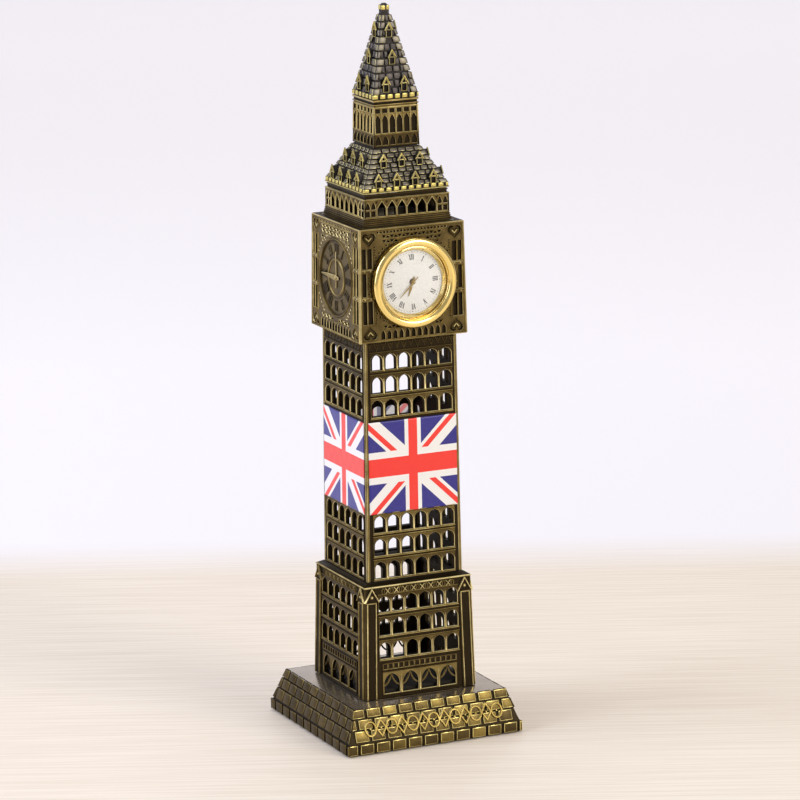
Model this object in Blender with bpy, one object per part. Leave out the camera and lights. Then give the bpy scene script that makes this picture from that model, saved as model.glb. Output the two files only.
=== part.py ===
"""Miniature clock tower: a hollow cast-metal souvenir with a push-in quartz clock.

The script works in millimetres and turns each finished mesh into metres. +Z is up and the clock
looks along -Y. The origin is the middle of the face that the tower rests on.
"""

import math
from dataclasses import dataclass

import bmesh
import bpy
from mathutils import Matrix, Vector
from mathutils.geometry import delaunay_2d_cdt

MM = 0.001
GAP = 0.3                       # play between neighbouring pieces
SEAM = GAP / math.sqrt(2)       # set-back of a mitred panel edge that leaves that play
SIDES = ("front", "right", "back", "left")

# Base
BASE_HALF = 39.5                # half the width of the lowest band
BASE_RIM = 0.3                  # height of the rim's underside: the pad stands this much proud
BASE_BAND_TOP = 4.7
BASE_SLOPE_HALF = 39.0          # half width at the foot of the sloping courses
BASE_TOP_HALF = 34.5
BASE_TOP = 18.0
BASE_CEILING = 15.0             # underside of the base's top wall
COURSE_FEET = (5.6, 10.65, 14.75)
JOINT_WIDTH = 0.5               # mortar joint between two courses of blocks
PAD_HALF = 36.9
PAD_THICK = 1.2
SCREW_SPREAD = 14.0             # the tower screws stand at plus and minus this in X and Y
SCREW_HOLE = 1.8
SCREW_SHANK = 1.5
SCREW_HEAD = 2.8
SCREW_HEAD_HIGH = 2.2
SCREW_TIP = 20.5

# Lower storey
STOREY_FOOT = BASE_TOP + GAP
STOREY_TOP = 64.7
STOREY_HALF = (24.8, 23.75)     # half widths at foot and top
STOREY_WALL = 1.6
STOREY_ROWS = ((34.8, 41.7), (44.6, 51.6), (54.3, 61.0))
FLOOR_TOP = 20.9
LEDGE_FOOT = STOREY_TOP + GAP
LEDGE_TOP = 66.6

# Shaft
SHAFT_FOOT = LEDGE_TOP + GAP
SHAFT_TOP = 166.4
SHAFT_HALF = (21.2, 20.4)
SHAFT_WALL = 1.4
ROW_FOOT = 67.8                 # foot of the lowest row of lights
ROW_PITCH = 9.61
ROW_HIGH = 7.2
BARE_ROWS = (0, 1, 2, 7, 8, 9)  # the stickers hide rows 3 to 6
STICKER_FOOT = 95.0
STICKER_TOP = 133.2
STICKER_HALF = 19.75
STICKER_THICK = 0.25

# Clock stage
STAGE_FOOT = SHAFT_TOP + GAP
STAGE_TOP = 213.0
STAGE_HALF = (23.86, 23.13)
STAGE_WALL = 2.2
STAGE_FLOOR_TOP = 168.2
STAGE_CEILING = 211.3
CLOCK_Z = 189.9

# Belfry, roofs and finial
BELFRY_FOOT = STAGE_TOP + GAP
BELFRY_WALL_FOOT = 216.3
BELFRY_WALL_TOP = 224.3
BELFRY_TOP = 225.9
ROOF_FOOT = BELFRY_TOP + GAP
ROOF_EAVES = 227.8
ROOF_TOP = 243.0
ROOF_HALF = (18.6, 10.3)
LANTERN_FOOT = ROOF_TOP + GAP
LANTERN_WALL_FOOT = 243.6
LANTERN_WALL_TOP = 260.0
LANTERN_TOP = 262.4
LANTERN_HALF = (10.2, 9.7)
SPIRE_FOOT = LANTERN_TOP + GAP
SPIRE_EAVES = 264.2
SPIRE_TOP = 296.2
SPIRE_HALF = (9.8, 1.75)
SPIRE_SOCKET = 1.0              # radius of the finial's socket
SPIRE_SOCKET_FOOT = 292.2
TOWER_TOP = 300.0

# Clock insert: depths are measured inwards from the back of the bezel's flange
FLANGE_Y = -24.2
BORE = 17.5
BEZEL_RADIUS = 18.5
APERTURE = 14.5
LENS_RADIUS = 14.9
LENS_DEPTH = (-1.3, -0.6)
CASE_RADIUS = 16.5
CASE_BORE = 14.7
CASE_BACK_DEPTH = 11.0
CASE_STEP = (4.0, 4.8)         # the step inside the case that carries the main plate
DIAL_DEPTH = (1.1, 1.5)
DIAL_RADIUS = 14.3
HOUR_HAND_DEPTH = (0.45, 0.7)
MINUTE_HAND_DEPTH = (-0.25, 0.0)
HOUR_HAND_ANGLE = 199.0         # degrees clockwise from twelve
MINUTE_HAND_ANGLE = 225.0
MOTION_DEPTH = (3.98, 4.28)     # hour wheel
CANNON_DEPTH = (4.5, 4.8)       # minute wheel, driven by the cannon pinion
PLATE_DEPTH = (5.1, 5.8)
CENTRE_DEPTH = (6.1, 6.4)
INTERMEDIATE_DEPTH = (6.8, 7.1)
MAGNET_DEPTH = (7.4, 8.2)
STATOR_DEPTH = (7.6, 8.0)
BRIDGE_DEPTH = (8.6, 9.1)
STEM_DEPTH = 7.3
CROWN_RADIUS = 1.9
CROWN_REACH = (15.0, 17.0)      # distance of the crown's two ends from the clock's axis

# Clock train: teeth and modules
CANNON_TEETH = 8
MINUTE_TEETH = 24
CANNON_MODULE = 0.25
MINUTE_PINION_TEETH = 6
HOUR_TEETH = 24
MOTION_MODULE = CANNON_MODULE * (CANNON_TEETH + MINUTE_TEETH) / (MINUTE_PINION_TEETH + HOUR_TEETH)
CENTRE_TEETH = 36
PINION_TEETH = 6
INTERMEDIATE_TEETH = 30
TRAIN_MODULE = 0.2


def polar(angle, radius, centre=(0.0, 0.0)):
    """Point at an angle in degrees, counter-clockwise from +X."""
    turn = math.radians(angle)
    return centre[0] + radius * math.cos(turn), centre[1] + radius * math.sin(turn)


MINUTE_AXIS_ANGLE = 90.0
INTERMEDIATE_ANGLE = 150.0      # seen from the centre wheel
ROTOR_ANGLE = 100.0             # seen from the intermediate wheel
MINUTE_AXIS = polar(MINUTE_AXIS_ANGLE, CANNON_MODULE * (CANNON_TEETH + MINUTE_TEETH) / 2)
INTERMEDIATE_AXIS = polar(INTERMEDIATE_ANGLE, TRAIN_MODULE * (CENTRE_TEETH + PINION_TEETH) / 2)
ROTOR_AXIS = polar(ROTOR_ANGLE, TRAIN_MODULE * (INTERMEDIATE_TEETH + PINION_TEETH) / 2, INTERMEDIATE_AXIS)
PILLARS = ((-10.6, 1.2), (2.6, 6.0))
CELL_CENTRE = (4.6, -6.4)
CELL_RADIUS = 3.4

# Finishes: colour, metallic, roughness
FINISHES = {
    "antique_bronze": ((0.20, 0.14, 0.06), 0.85, 0.42),
    "dark_bronze": ((0.10, 0.075, 0.045), 0.8, 0.5),
    "film": ((0.45, 0.10, 0.12), 0.0, 0.2),
    "gold": ((0.86, 0.62, 0.22), 1.0, 0.14),
    "glass": ((0.93, 0.96, 0.96), 0.0, 0.03),
    "dial_white": ((0.90, 0.89, 0.84), 0.0, 0.45),
    "brass": ((0.72, 0.55, 0.25), 1.0, 0.3),
    "steel": ((0.55, 0.56, 0.58), 1.0, 0.3),
    "case_plastic": ((0.05, 0.05, 0.055), 0.0, 0.5),
    "rubber": ((0.03, 0.03, 0.03), 0.0, 0.8),
    "copper": ((0.70, 0.32, 0.14), 0.9, 0.4),
    "board_green": ((0.04, 0.22, 0.10), 0.0, 0.45),
    "felt": ((0.05, 0.12, 0.07), 0.0, 0.95),
}


@dataclass(eq=False)
class Region:
    """A part of a face that stands at its own depth. Depth None is a hole right through."""

    outline: list
    depth: object = None
    inner: tuple = ()


# ------------------------------------------------------------------ outlines

def rectangle(x0, x1, z0, z1):
    return [(x0, z0), (x1, z0), (x1, z1), (x0, z1)]


def lancet(x, foot, top, width, spring=0.62):
    """A pointed light: upright sides to the springing line, then two straight arch lines."""
    half = width / 2
    spring_z = foot + (top - foot) * spring
    return [(x - half, foot), (x + half, foot), (x + half, spring_z), (x, top), (x - half, spring_z)]


def circle(centre, radius, sides):
    return [polar(360 * i / sides, radius, centre) for i in range(sides)]


def gear(centre, teeth, module, first_tooth):
    """A toothed outline with one tooth's middle at the angle first_tooth."""
    pitch = 360 / teeth
    tip = module * (teeth / 2 + 0.8)
    root = module * (teeth / 2 - 1.25)
    points = []
    for i in range(teeth):
        middle = first_tooth + i * pitch
        for share, radius in ((-0.27, root), (-0.12, tip), (0.12, tip), (0.27, root)):
            points.append(polar(middle + share * pitch, radius, centre))
    return points


def hand(angle, length, boss, width, tail):
    """A tapered hand with a round boss, turned clockwise from twelve by the angle."""
    right = [(width * 0.4, -tail)]
    right += [polar(a, boss) for a in (-50, -25, 0, 25, 50)]
    right += [(width / 2, boss * 1.3), (width * 0.15, length)]
    outline = right + mirrored(right)
    turn = math.radians(-angle)
    cos, sin = math.cos(turn), math.sin(turn)
    return [(x * cos - z * sin, x * sin + z * cos) for x, z in outline]


def mirrored(outline):
    """The outline on the other side of x = 0, still counter-clockwise."""
    return [(-x, z) for x, z in reversed(outline)]


def spread(count, pitch):
    """Middles of a centred row."""
    return [(i - (count - 1) / 2) * pitch for i in range(count)]


# ------------------------------------------------------------------ frames

def taper(foot, top, halves):
    """Half width of a tapering stage at a height."""
    def half_at(z):
        return halves[0] + (halves[1] - halves[0]) * (z - foot) / (top - foot)
    return half_at


def wall_frame(side, half_at):
    """Points on a wall: x along it, z up and the depth inwards from its face."""
    turn = Matrix.Rotation(SIDES.index(side) * math.pi / 2, 4, "Z")
    return lambda x, z, depth: turn @ Vector((x, depth - half_at(z), z))


def clock_frame(x, z, depth):
    """Points in the clock insert: x to the right, z up and the depth inwards."""
    return Vector((x, FLANGE_Y + depth, CLOCK_Z + z))


def stem_frame(a, b, reach):
    """Points on the winding stem, whose axis runs out along +X."""
    return Vector((reach, FLANGE_Y + STEM_DEPTH + a, CLOCK_Z + b))


def upright_frame(x=0.0, y=0.0):
    """Points on a vertical axis, or on level faces at a height."""
    return lambda a, b, height: Vector((x + a, y + b, height))


# ------------------------------------------------------------------ meshes

def fill_face(bm, frame, outline, rim, depth, regions, holes):
    """Fill the face inside a rim, and step each region inside it to its own depth.

    The outlines of regions, and of a face that has regions, run counter-clockwise.
    """
    points = list(outline)
    verts = list(rim)
    loops = [list(range(len(rim)))]
    for region in regions:
        loops.append([len(points) + i for i in range(len(region.outline))])
        upper = [bm.verts.new(frame(x, z, depth_at(depth, x, z))) for x, z in region.outline]
        points += region.outline
        verts += upper
        if region.depth is None:
            holes.setdefault(region, []).append(upper)
            continue
        lower = [bm.verts.new(frame(x, z, depth_at(region.depth, x, z))) for x, z in region.outline]
        bridge(bm, upper, lower)
        fill_face(bm, frame, region.outline, lower, region.depth, region.inner, holes)
    if regions:
        filled = delaunay_2d_cdt([Vector(p) for p in points], [], loops, 1, 1e-7)
        for corner_ids, loops_around in zip(filled[2], filled[5]):
            if loops_around == [0]:
                bm.faces.new([verts[i] for i in corner_ids])
    else:
        bm.faces.new(rim)


def depth_at(depth, x, z):
    return depth(x, z) if callable(depth) else depth


def bridge(bm, one, other):
    """Quads between two rims with the same number of vertices."""
    for i in range(len(one)):
        j = (i + 1) % len(one)
        bm.faces.new((one[i], one[j], other[j], other[i]))


def slab(frame, outline, depths, front=(), back=(), back_outline=None):
    """A plate between two depths, with regions on its two faces and holes that both faces share."""
    bm = bmesh.new()
    holes = {}
    back_outline = back_outline or outline
    rims = []
    for points, depth, regions in ((outline, depths[0], front), (back_outline, depths[1], back)):
        rim = [bm.verts.new(frame(x, z, depth)) for x, z in points]
        fill_face(bm, frame, points, rim, depth, regions, holes)
        rims.append(rim)
    bridge(bm, *rims)
    for two_rims in holes.values():
        bridge(bm, *two_rims)
    return bm


def turned(frame, profile, steps, ring=False):
    """Revolve (radius, place) points: a ring closes on itself, a solid starts and ends on the axis."""
    bm = bmesh.new()
    rings = []
    for radius, place in profile:
        count = steps if radius > 0 else 1
        rings.append([bm.verts.new(frame(*polar(360 * i / steps, radius), place)) for i in range(count)])
    pairs = list(zip(rings, rings[1:]))
    if ring:
        pairs.append((rings[-1], rings[0]))
    for one, other in pairs:
        if len(one) == len(other):
            bridge(bm, one, other)
            continue
        tip, rim = (one, other) if len(one) == 1 else (other, one)
        for i in range(steps):
            bm.faces.new((tip[0], rim[i], rim[(i + 1) % steps]))
    return bm


def side_face(bm, side, rings, sizes, regions, holes):
    """Fill one side between two square rings of (half width, height), with its regions."""
    (low_half, low), (high_half, high) = sizes
    outline = [(-low_half, low), (low_half, low), (high_half, high), (-high_half, high)]
    frame = wall_frame(side, taper(low, high, (low_half, high_half)))
    k = SIDES.index(side)
    under, over = rings
    rim = [under[k], under[(k + 1) % 4], over[(k + 1) % 4], over[k]]
    fill_face(bm, frame, outline, rim, 0.0, regions, holes)


def square_shell(outer, inner, closed_top=False, reliefs=None, openings=(), top_regions=()):
    """A hollow square stage through (half width, height) rings, outside and inside, foot first.

    reliefs is (number of an outer step, regions on each of its four faces). The openings go
    through the wall from that step to the first inner one.
    """
    bm = bmesh.new()
    holes = {}
    level = upright_frame()
    corners = ((-1, -1), (1, -1), (1, 1), (-1, 1))
    outer_rings = [[bm.verts.new((x * h, y * h, z)) for x, y in corners] for h, z in outer]
    inner_rings = [[bm.verts.new((x * h, y * h, z)) for x, y in corners] for h, z in inner]
    relief_step, relief = reliefs or (None, ())
    for step in range(len(outer) - 1):
        if step != relief_step:
            bridge(bm, outer_rings[step], outer_rings[step + 1])
    for step in range(1 if openings else 0, len(inner) - 1):
        bridge(bm, inner_rings[step], inner_rings[step + 1])
    for side in SIDES if reliefs else ():
        through = {}
        span = slice(relief_step, relief_step + 2)
        side_face(bm, side, outer_rings[span], outer[span], [*relief, *openings], through)
        if openings:
            side_face(bm, side, inner_rings[:2], inner[:2], openings, through)
        for two_rims in through.values():
            bridge(bm, *two_rims)
    bridge(bm, outer_rings[0], inner_rings[0])
    if not closed_top:
        bridge(bm, outer_rings[-1], inner_rings[-1])
        return bm
    for (half, z), rim in ((outer[-1], outer_rings[-1]), (inner[-1], inner_rings[-1])):
        fill_face(bm, level, [(x * half, y * half) for x, y in corners], rim, z, top_regions, holes)
    for two_rims in holes.values():
        bridge(bm, *two_rims)
    return bm


def principled(name, finish):
    colour, metallic, roughness = FINISHES[finish]
    material = bpy.data.materials.new(name + "_" + finish)
    material.use_nodes = True
    shader = material.node_tree.nodes["Principled BSDF"]
    shader.inputs["Base Color"].default_value = (*colour, 1.0)
    shader.inputs["Metallic"].default_value = metallic
    shader.inputs["Roughness"].default_value = roughness
    return material


def piece(name, bm, finish, origin=(0.0, 0.0, 0.0), smooth=False):
    """Turn a mesh in millimetres into a named object whose own origin is at the given point."""
    bmesh.ops.recalc_face_normals(bm, faces=bm.faces)
    bm.transform(Matrix.Scale(MM, 4) @ Matrix.Translation(-Vector(origin)))
    mesh = bpy.data.meshes.new(name)
    bm.to_mesh(mesh)
    bm.free()
    obj = bpy.data.objects.new(name, mesh)
    obj.location = Vector(origin) * MM
    obj.data.materials.append(principled(name, finish))
    bpy.context.scene.collection.objects.link(obj)
    if smooth:
        mesh.shade_smooth()
        mesh.set_sharp_from_angle(angle=math.radians(35))
    return obj


# ------------------------------------------------------------------ tower

def wall_panel(name, side, span, halves, wall, relief, openings=()):
    """One side of a stage, mitred at 45 degrees where it meets its two neighbours."""
    half_at = taper(*span, halves)

    def outline(depth):
        low, high = (half_at(z) - depth - SEAM for z in span)
        return [(-low, span[0]), (low, span[0]), (high, span[1]), (-high, span[1])]

    front = [*relief, *openings]
    bm = slab(wall_frame(side, half_at), outline(0.0), (0.0, wall), front, openings, outline(wall))
    piece(name + "_" + side, bm, "antique_bronze")


def build_base():
    """The hollow block-built base, its pad and the screws that hold the tower on it."""
    half_at = taper(5.3, BASE_TOP, (BASE_SLOPE_HALF, BASE_TOP_HALF))
    outer = [(BASE_HALF, BASE_RIM), (BASE_HALF, BASE_BAND_TOP)]
    course_tops = [foot - JOINT_WIDTH for foot in COURSE_FEET[1:]] + [BASE_TOP]
    for foot, top in zip(COURSE_FEET, course_tops):
        joint = half_at(foot) - JOINT_WIDTH
        outer += [(joint, outer[-1][1]), (joint, foot), (half_at(foot), foot), (half_at(top), top)]
    ledge = PAD_THICK + GAP
    inner = [(PAD_HALF + GAP, BASE_RIM), (PAD_HALF + GAP, ledge), (35.2, ledge), (35.2, 5.0),
             (31.0, BASE_CEILING)]
    spots = [(x, y) for x in (-SCREW_SPREAD, SCREW_SPREAD) for y in (-SCREW_SPREAD, SCREW_SPREAD)]
    holes = [Region(circle(spot, SCREW_HOLE, 16)) for spot in spots]
    piece("base_plinth", square_shell(outer, inner, True, top_regions=holes), "antique_bronze")

    pad = slab(upright_frame(), rectangle(-PAD_HALF, PAD_HALF, -PAD_HALF, PAD_HALF), (0.0, PAD_THICK))
    piece("base_pad", pad, "felt")

    under_head = BASE_CEILING - GAP
    head_foot = under_head - SCREW_HEAD_HIGH
    profile = [(0.0, head_foot), (SCREW_HEAD - 0.5, head_foot), (SCREW_HEAD, head_foot + 0.7),
               (SCREW_HEAD, under_head), (SCREW_SHANK, under_head), (SCREW_SHANK, SCREW_TIP),
               (0.0, SCREW_TIP)]
    for number, (x, y) in enumerate(spots, 1):
        screw = turned(upright_frame(x, y), profile, 14)
        piece(f"tower_screw_{number}", screw, "steel", (x, y, 0.0), smooth=True)

    half = STOREY_HALF[0] - STOREY_WALL - 2 * GAP
    floor_holes = [Region(circle(spot, SCREW_HOLE, 16)) for spot in spots]
    floor = slab(upright_frame(), rectangle(-half, half, -half, half), (FLOOR_TOP, STOREY_FOOT),
                 floor_holes, floor_holes)
    piece("storey_floor_plate", floor, "dark_bronze")


def storey_openings():
    """Four wide arches at the foot, then three rows of six."""
    openings = [Region(lancet(x, 20.8, 28.1, 6.4)) for x in (-12.7, -4.2, 4.2, 12.7)]
    for foot, top in STOREY_ROWS:
        openings += [Region(lancet(x, foot, top, 4.6)) for x in spread(6, 6.1)]
    return openings


def storey_relief():
    """Sunk balustrade, sills, frieze and the gabled buttresses at the two corners."""
    regions = [Region(rectangle(-16.8, 16.8, 29.7, 32.2), 0.4)]
    regions += [Region(rectangle(-18.0, 18.0, foot - 1.9, foot - 0.8), -0.3) for foot, _ in STOREY_ROWS]
    regions.append(Region(rectangle(-17.9, 17.9, 62.1, 64.2), -0.3))
    pilaster = [(19.1, 21.5), (23.2, 21.5), (23.2, 59.3), (20.9, 64.2), (18.2, 59.3), (19.1, 59.3)]
    sunk = rectangle(20.0, 22.3, 23.0, 57.5)
    for flip in (mirrored, list):
        regions.append(Region(flip(pilaster), -0.5, (Region(flip(sunk), 0.0),)))
    return regions


def build_storey():
    span = (STOREY_FOOT, STOREY_TOP)
    for side in SIDES:
        openings = storey_openings()
        wall_panel("storey_panel", side, span, STOREY_HALF, STOREY_WALL, storey_relief(), openings)
    lip = LEDGE_FOOT + 0.6
    outer = [(24.2, LEDGE_FOOT), (24.2, lip), (22.1, LEDGE_TOP)]
    inner = [(17.0, LEDGE_FOOT), (17.0, LEDGE_TOP)]
    piece("storey_ledge", square_shell(outer, inner), "dark_bronze")


def shaft_openings():
    openings = []
    for row in BARE_ROWS:
        foot = ROW_FOOT + row * ROW_PITCH
        openings += [Region(lancet(x, foot, min(foot + ROW_HIGH, 161.0), 4.6)) for x in spread(6, 6.15)]
    return openings


def shaft_relief():
    """A sunk frieze, and a groove up each corner strip."""
    regions = [Region(rectangle(-18.2, 18.2, 162.3, 165.6), 0.4)]
    groove = rectangle(18.7, 19.5, 67.6, 165.6)
    return regions + [Region(groove, 0.4), Region(mirrored(groove), 0.4)]


def build_shaft():
    """Four panels, each with a printed sticker half way up."""
    span = (SHAFT_FOOT, SHAFT_TOP)
    sticker = rectangle(-STICKER_HALF, STICKER_HALF, STICKER_FOOT, STICKER_TOP)
    for side in SIDES:
        openings = shaft_openings()
        wall_panel("shaft_panel", side, span, SHAFT_HALF, SHAFT_WALL, shaft_relief(), openings)
        frame = wall_frame(side, taper(*span, SHAFT_HALF))
        film = slab(frame, sticker, (-GAP - STICKER_THICK, -GAP))
        piece("sticker_" + side, film, "film")


def stage_relief(cast_dial):
    """Slots beside the dial, rosettes in the corners and rows of lights above and below."""
    regions = []
    for s in (-1, 1):
        for foot, top in ((173.6, 183.6), (185.4, 195.0), (196.8, 205.6)):
            for near in (19.3, 21.1):
                slot = rectangle(*sorted((s * near, s * (near + 1.2))), foot, top)
                regions.append(Region(slot, 0.8))
        for z in (170.6, 208.6):
            regions.append(Region(circle((s * 19.3, z), 2.3, 8), 0.6))
    regions += [Region(lancet(x, 167.6, 170.8, 2.2), 0.6) for x in spread(8, 4.0)]
    regions += [Region([(x - 1.3, 209.4), (x + 1.3, 209.4), (x, 211.8)], 0.6) for x in spread(8, 4.0)]
    if cast_dial:
        centre = (0.0, CLOCK_Z)
        hub = Region(circle(centre, 1.2, 8), -0.4)
        inner_ring = Region(circle(centre, 7.6, 16), 0.0, (Region(circle(centre, 6.8, 16), 0.5, (hub,)),))
        face = Region(circle(centre, 14.6, 28), 0.5, (inner_ring,))
        regions.append(Region(circle(centre, 16.0, 28), -0.7, (face,)))
    return regions


def build_stage():
    span = (STAGE_FOOT, STAGE_TOP)
    bore = Region(circle((0.0, CLOCK_Z), BORE, 40))
    wall_panel("stage_panel", "front", span, STAGE_HALF, STAGE_WALL, stage_relief(False), [bore])
    for side in SIDES[1:]:
        wall_panel("stage_panel", side, span, STAGE_HALF, STAGE_WALL, stage_relief(True))
    for name, half, depths in (("stage_floor_plate", 21.2, (STAGE_FOOT, STAGE_FLOOR_TOP)),
                               ("stage_top_plate", 20.5, (STAGE_CEILING, STAGE_TOP))):
        plate = slab(upright_frame(), rectangle(-half, half, -half, half), depths)
        piece(name, plate, "dark_bronze")


def build_belfry():
    outer = []
    for step, half in enumerate((19.7, 19.5, 19.3)):
        outer += [(half, BELFRY_FOOT + step), (half, BELFRY_FOOT + step + 1.0)]
    relief_step = len(outer)
    outer += [(19.0, BELFRY_WALL_FOOT), (18.9, BELFRY_WALL_TOP), (18.2, BELFRY_WALL_TOP), (18.2, BELFRY_TOP)]
    openings = [Region(lancet(x, 216.9, 222.8, 3.4)) for x in spread(6, 4.45)]
    end_lights = [Region(rectangle(x - 0.7, x + 0.7, 217.1, 222.4), 0.8) for x in (-16.9, -14.7, 14.7, 16.9)]
    inner = [(16.9, BELFRY_FOOT), (16.9, BELFRY_TOP)]
    shell = square_shell(outer, inner, reliefs=(relief_step, end_lights), openings=openings)
    piece("belfry_arcade", shell, "antique_bronze")


def dormer(x, foot, top, width, half_at):
    """A gabled window whose upright front stands out from a sloping roof."""
    front = half_at(foot) + 0.35
    return Region(lancet(x, foot, top, width, 0.5), lambda _, z: half_at(z) - front)


def build_roofs():
    half_at = taper(ROOF_EAVES, ROOF_TOP, ROOF_HALF)
    dormers = [dormer(x, 228.4, 233.4, 3.4, half_at) for x in spread(4, 8.1)]
    dormers += [dormer(x, 235.4, 240.2, 3.4, half_at) for x in spread(3, 8.0)]
    outer = [(18.9, ROOF_FOOT), (18.9, ROOF_EAVES), (ROOF_HALF[0], ROOF_EAVES), (ROOF_HALF[1], ROOF_TOP)]
    inner = [(16.9, ROOF_FOOT), (16.6, ROOF_EAVES), (9.2, ROOF_TOP - 1.8)]
    piece("main_roof", square_shell(outer, inner, True, (2, dormers)), "antique_bronze")

    lights = [Region(lancet(x, 244.1, 247.9, 2.3), 0.6) for x in spread(6, 3.2)]
    lights += [Region(lancet(x, 248.9, 256.3, 2.3, 0.75), 0.8) for x in spread(6, 3.2)]
    lights += [Region(rectangle(x - 1.1, x + 1.1, 257.0, 258.8), 0.6) for x in spread(6, 3.2)]
    outer = [(LANTERN_HALF[0], LANTERN_FOOT), (LANTERN_HALF[0], LANTERN_WALL_FOOT),
             (LANTERN_HALF[1], LANTERN_WALL_TOP), (10.3, 260.3), (10.3, 261.2), (9.8, 261.4), (9.8, LANTERN_TOP)]
    inner = [(8.2, LANTERN_FOOT), (8.2, LANTERN_TOP)]
    piece("lantern_arcade", square_shell(outer, inner, reliefs=(1, lights)), "antique_bronze")

    half_at = taper(SPIRE_EAVES, SPIRE_TOP, SPIRE_HALF)
    dormers = [dormer(x, 265.4, 271.0, 3.2, half_at) for x in (-4.0, 4.0)]
    dormers += [dormer(0.0, 275.7, 281.2, 3.2, half_at), dormer(0.0, 285.9, 291.4, 3.0, half_at)]
    outer = [(10.2, SPIRE_FOOT), (10.2, SPIRE_EAVES), (SPIRE_HALF[0], SPIRE_EAVES), (SPIRE_HALF[1], SPIRE_TOP)]
    inner = [(8.2, SPIRE_FOOT), (1.6, 290.0)]
    socket = [Region(circle((0.0, 0.0), SPIRE_SOCKET, 12))]
    piece("spire", square_shell(outer, inner, True, (2, dormers), top_regions=socket), "antique_bronze")

    ball = 2.2
    centre = TOWER_TOP - ball
    arc = [(ball * math.cos(math.radians(a)), centre + ball * math.sin(math.radians(a)))
           for a in range(-30, 90, 24)]
    collar = SPIRE_TOP + GAP
    profile = [(0.0, SPIRE_SOCKET_FOOT), (SPIRE_SOCKET - GAP, SPIRE_SOCKET_FOOT),
               (SPIRE_SOCKET - GAP, collar), (1.5, collar)] + arc + [(0.0, TOWER_TOP)]
    piece("finial", turned(upright_frame(), profile, 20), "gold", smooth=True)


# ------------------------------------------------------------------ clock insert

def clock_origin(at=(0.0, 0.0)):
    return clock_frame(at[0], at[1], 0.0)


def clock_ring(name, profile, finish, steps=36):
    piece(name, turned(clock_frame, profile, steps, ring=True), finish, clock_origin(), smooth=True)


def clock_slab(name, outline, depths, finish, front=(), back=(), axis=(0.0, 0.0)):
    piece(name, slab(clock_frame, outline, depths, front, back), finish, clock_origin(axis))


def build_insert_shell():
    """Bezel, lens, inner ring, dial, case, grip ring and case back."""
    seat = LENS_DEPTH[0] - GAP
    bezel = [(BEZEL_RADIUS, 0.0), (BEZEL_RADIUS, -1.0), (17.9, -2.3), (16.7, -2.9), (15.4, -2.6),
             (APERTURE, seat - 0.4), (APERTURE, seat), (LENS_RADIUS + GAP, seat), (LENS_RADIUS + GAP, 0.0)]
    clock_ring("insert_bezel", bezel, "gold")
    front, rear = LENS_DEPTH
    lens = [(0.0, front), (LENS_RADIUS - 0.4, front), (LENS_RADIUS, front + 0.2), (LENS_RADIUS, rear), (0.0, rear)]
    piece("insert_lens", turned(clock_frame, lens, 36), "glass", clock_origin(), smooth=True)
    rehaut = [(DIAL_RADIUS, rear + GAP), (DIAL_RADIUS, DIAL_DEPTH[0] - GAP), (13.05, DIAL_DEPTH[0] - GAP),
              (14.0, rear + GAP)]
    clock_ring("inner_ring", rehaut, "gold")
    holder_foot = CASE_STEP[0] - GAP
    holder = [(DIAL_RADIUS, DIAL_DEPTH[1] + GAP), (DIAL_RADIUS, holder_foot), (12.6, holder_foot),
              (12.6, DIAL_DEPTH[1] + GAP)]
    clock_ring("movement_ring", holder, "case_plastic")
    hole = Region(circle((0.0, 0.0), 1.3, 16))
    clock_slab("dial", circle((0.0, 0.0), DIAL_RADIUS, 36), DIAL_DEPTH, "dial_white", [hole], [hole])

    case = [(CASE_RADIUS, GAP), (CASE_RADIUS, CASE_BACK_DEPTH), (CASE_BORE, CASE_BACK_DEPTH),
            (CASE_BORE, CASE_STEP[1]), (13.4, CASE_STEP[1]), (13.4, CASE_STEP[0]), (CASE_BORE, CASE_STEP[0]),
            (CASE_BORE, GAP)]
    clock_ring("insert_case", case, "case_plastic")
    notch = turned(stem_frame, [(0.0, 13.5), (2.3, 13.5), (2.3, 18.0), (0.0, 18.0)], 20)
    cutter = piece("crown_notch_cutter", notch, "steel", clock_origin())
    cutter.hide_render = True
    cutter.display_type = "WIRE"
    cut = bpy.data.objects["insert_case"].modifiers.new("crown_notch", "BOOLEAN")
    cut.operation = "DIFFERENCE"
    cut.object = cutter

    grip = [(16.8, 0.6), (17.2, 1.0), (17.0, 1.7), (17.2, 2.4), (16.8, 2.9)]
    clock_ring("grip_ring", grip, "rubber", 32)
    lid = CASE_BACK_DEPTH + GAP
    back = [(0.0, lid), (13.4, lid), (13.4, 10.2), (14.4, 10.2), (14.4, lid), (CASE_RADIUS, lid),
            (CASE_RADIUS, lid + 0.5), (15.9, lid + 0.9), (0.0, lid + 0.9)]
    piece("case_back", turned(clock_frame, back, 32), "steel", clock_origin(), smooth=True)


def build_hands():
    """Two hands, each on the end of its own pipe."""
    specs = (("hour_hand", HOUR_HAND_ANGLE, 5.6, 1.6, 0.9, 1.9, 1.2, HOUR_HAND_DEPTH),
             ("minute_hand", MINUTE_HAND_ANGLE, 8.2, 1.1, 0.7, 2.3, 0.65, MINUTE_HAND_DEPTH))
    for name, angle, length, boss, width, tail, bore, depths in specs:
        hole = Region(circle((0.0, 0.0), bore, 12))
        clock_slab(name, hand(angle, length, boss, width, tail), depths, "gold", [hole], [hole])


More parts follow.
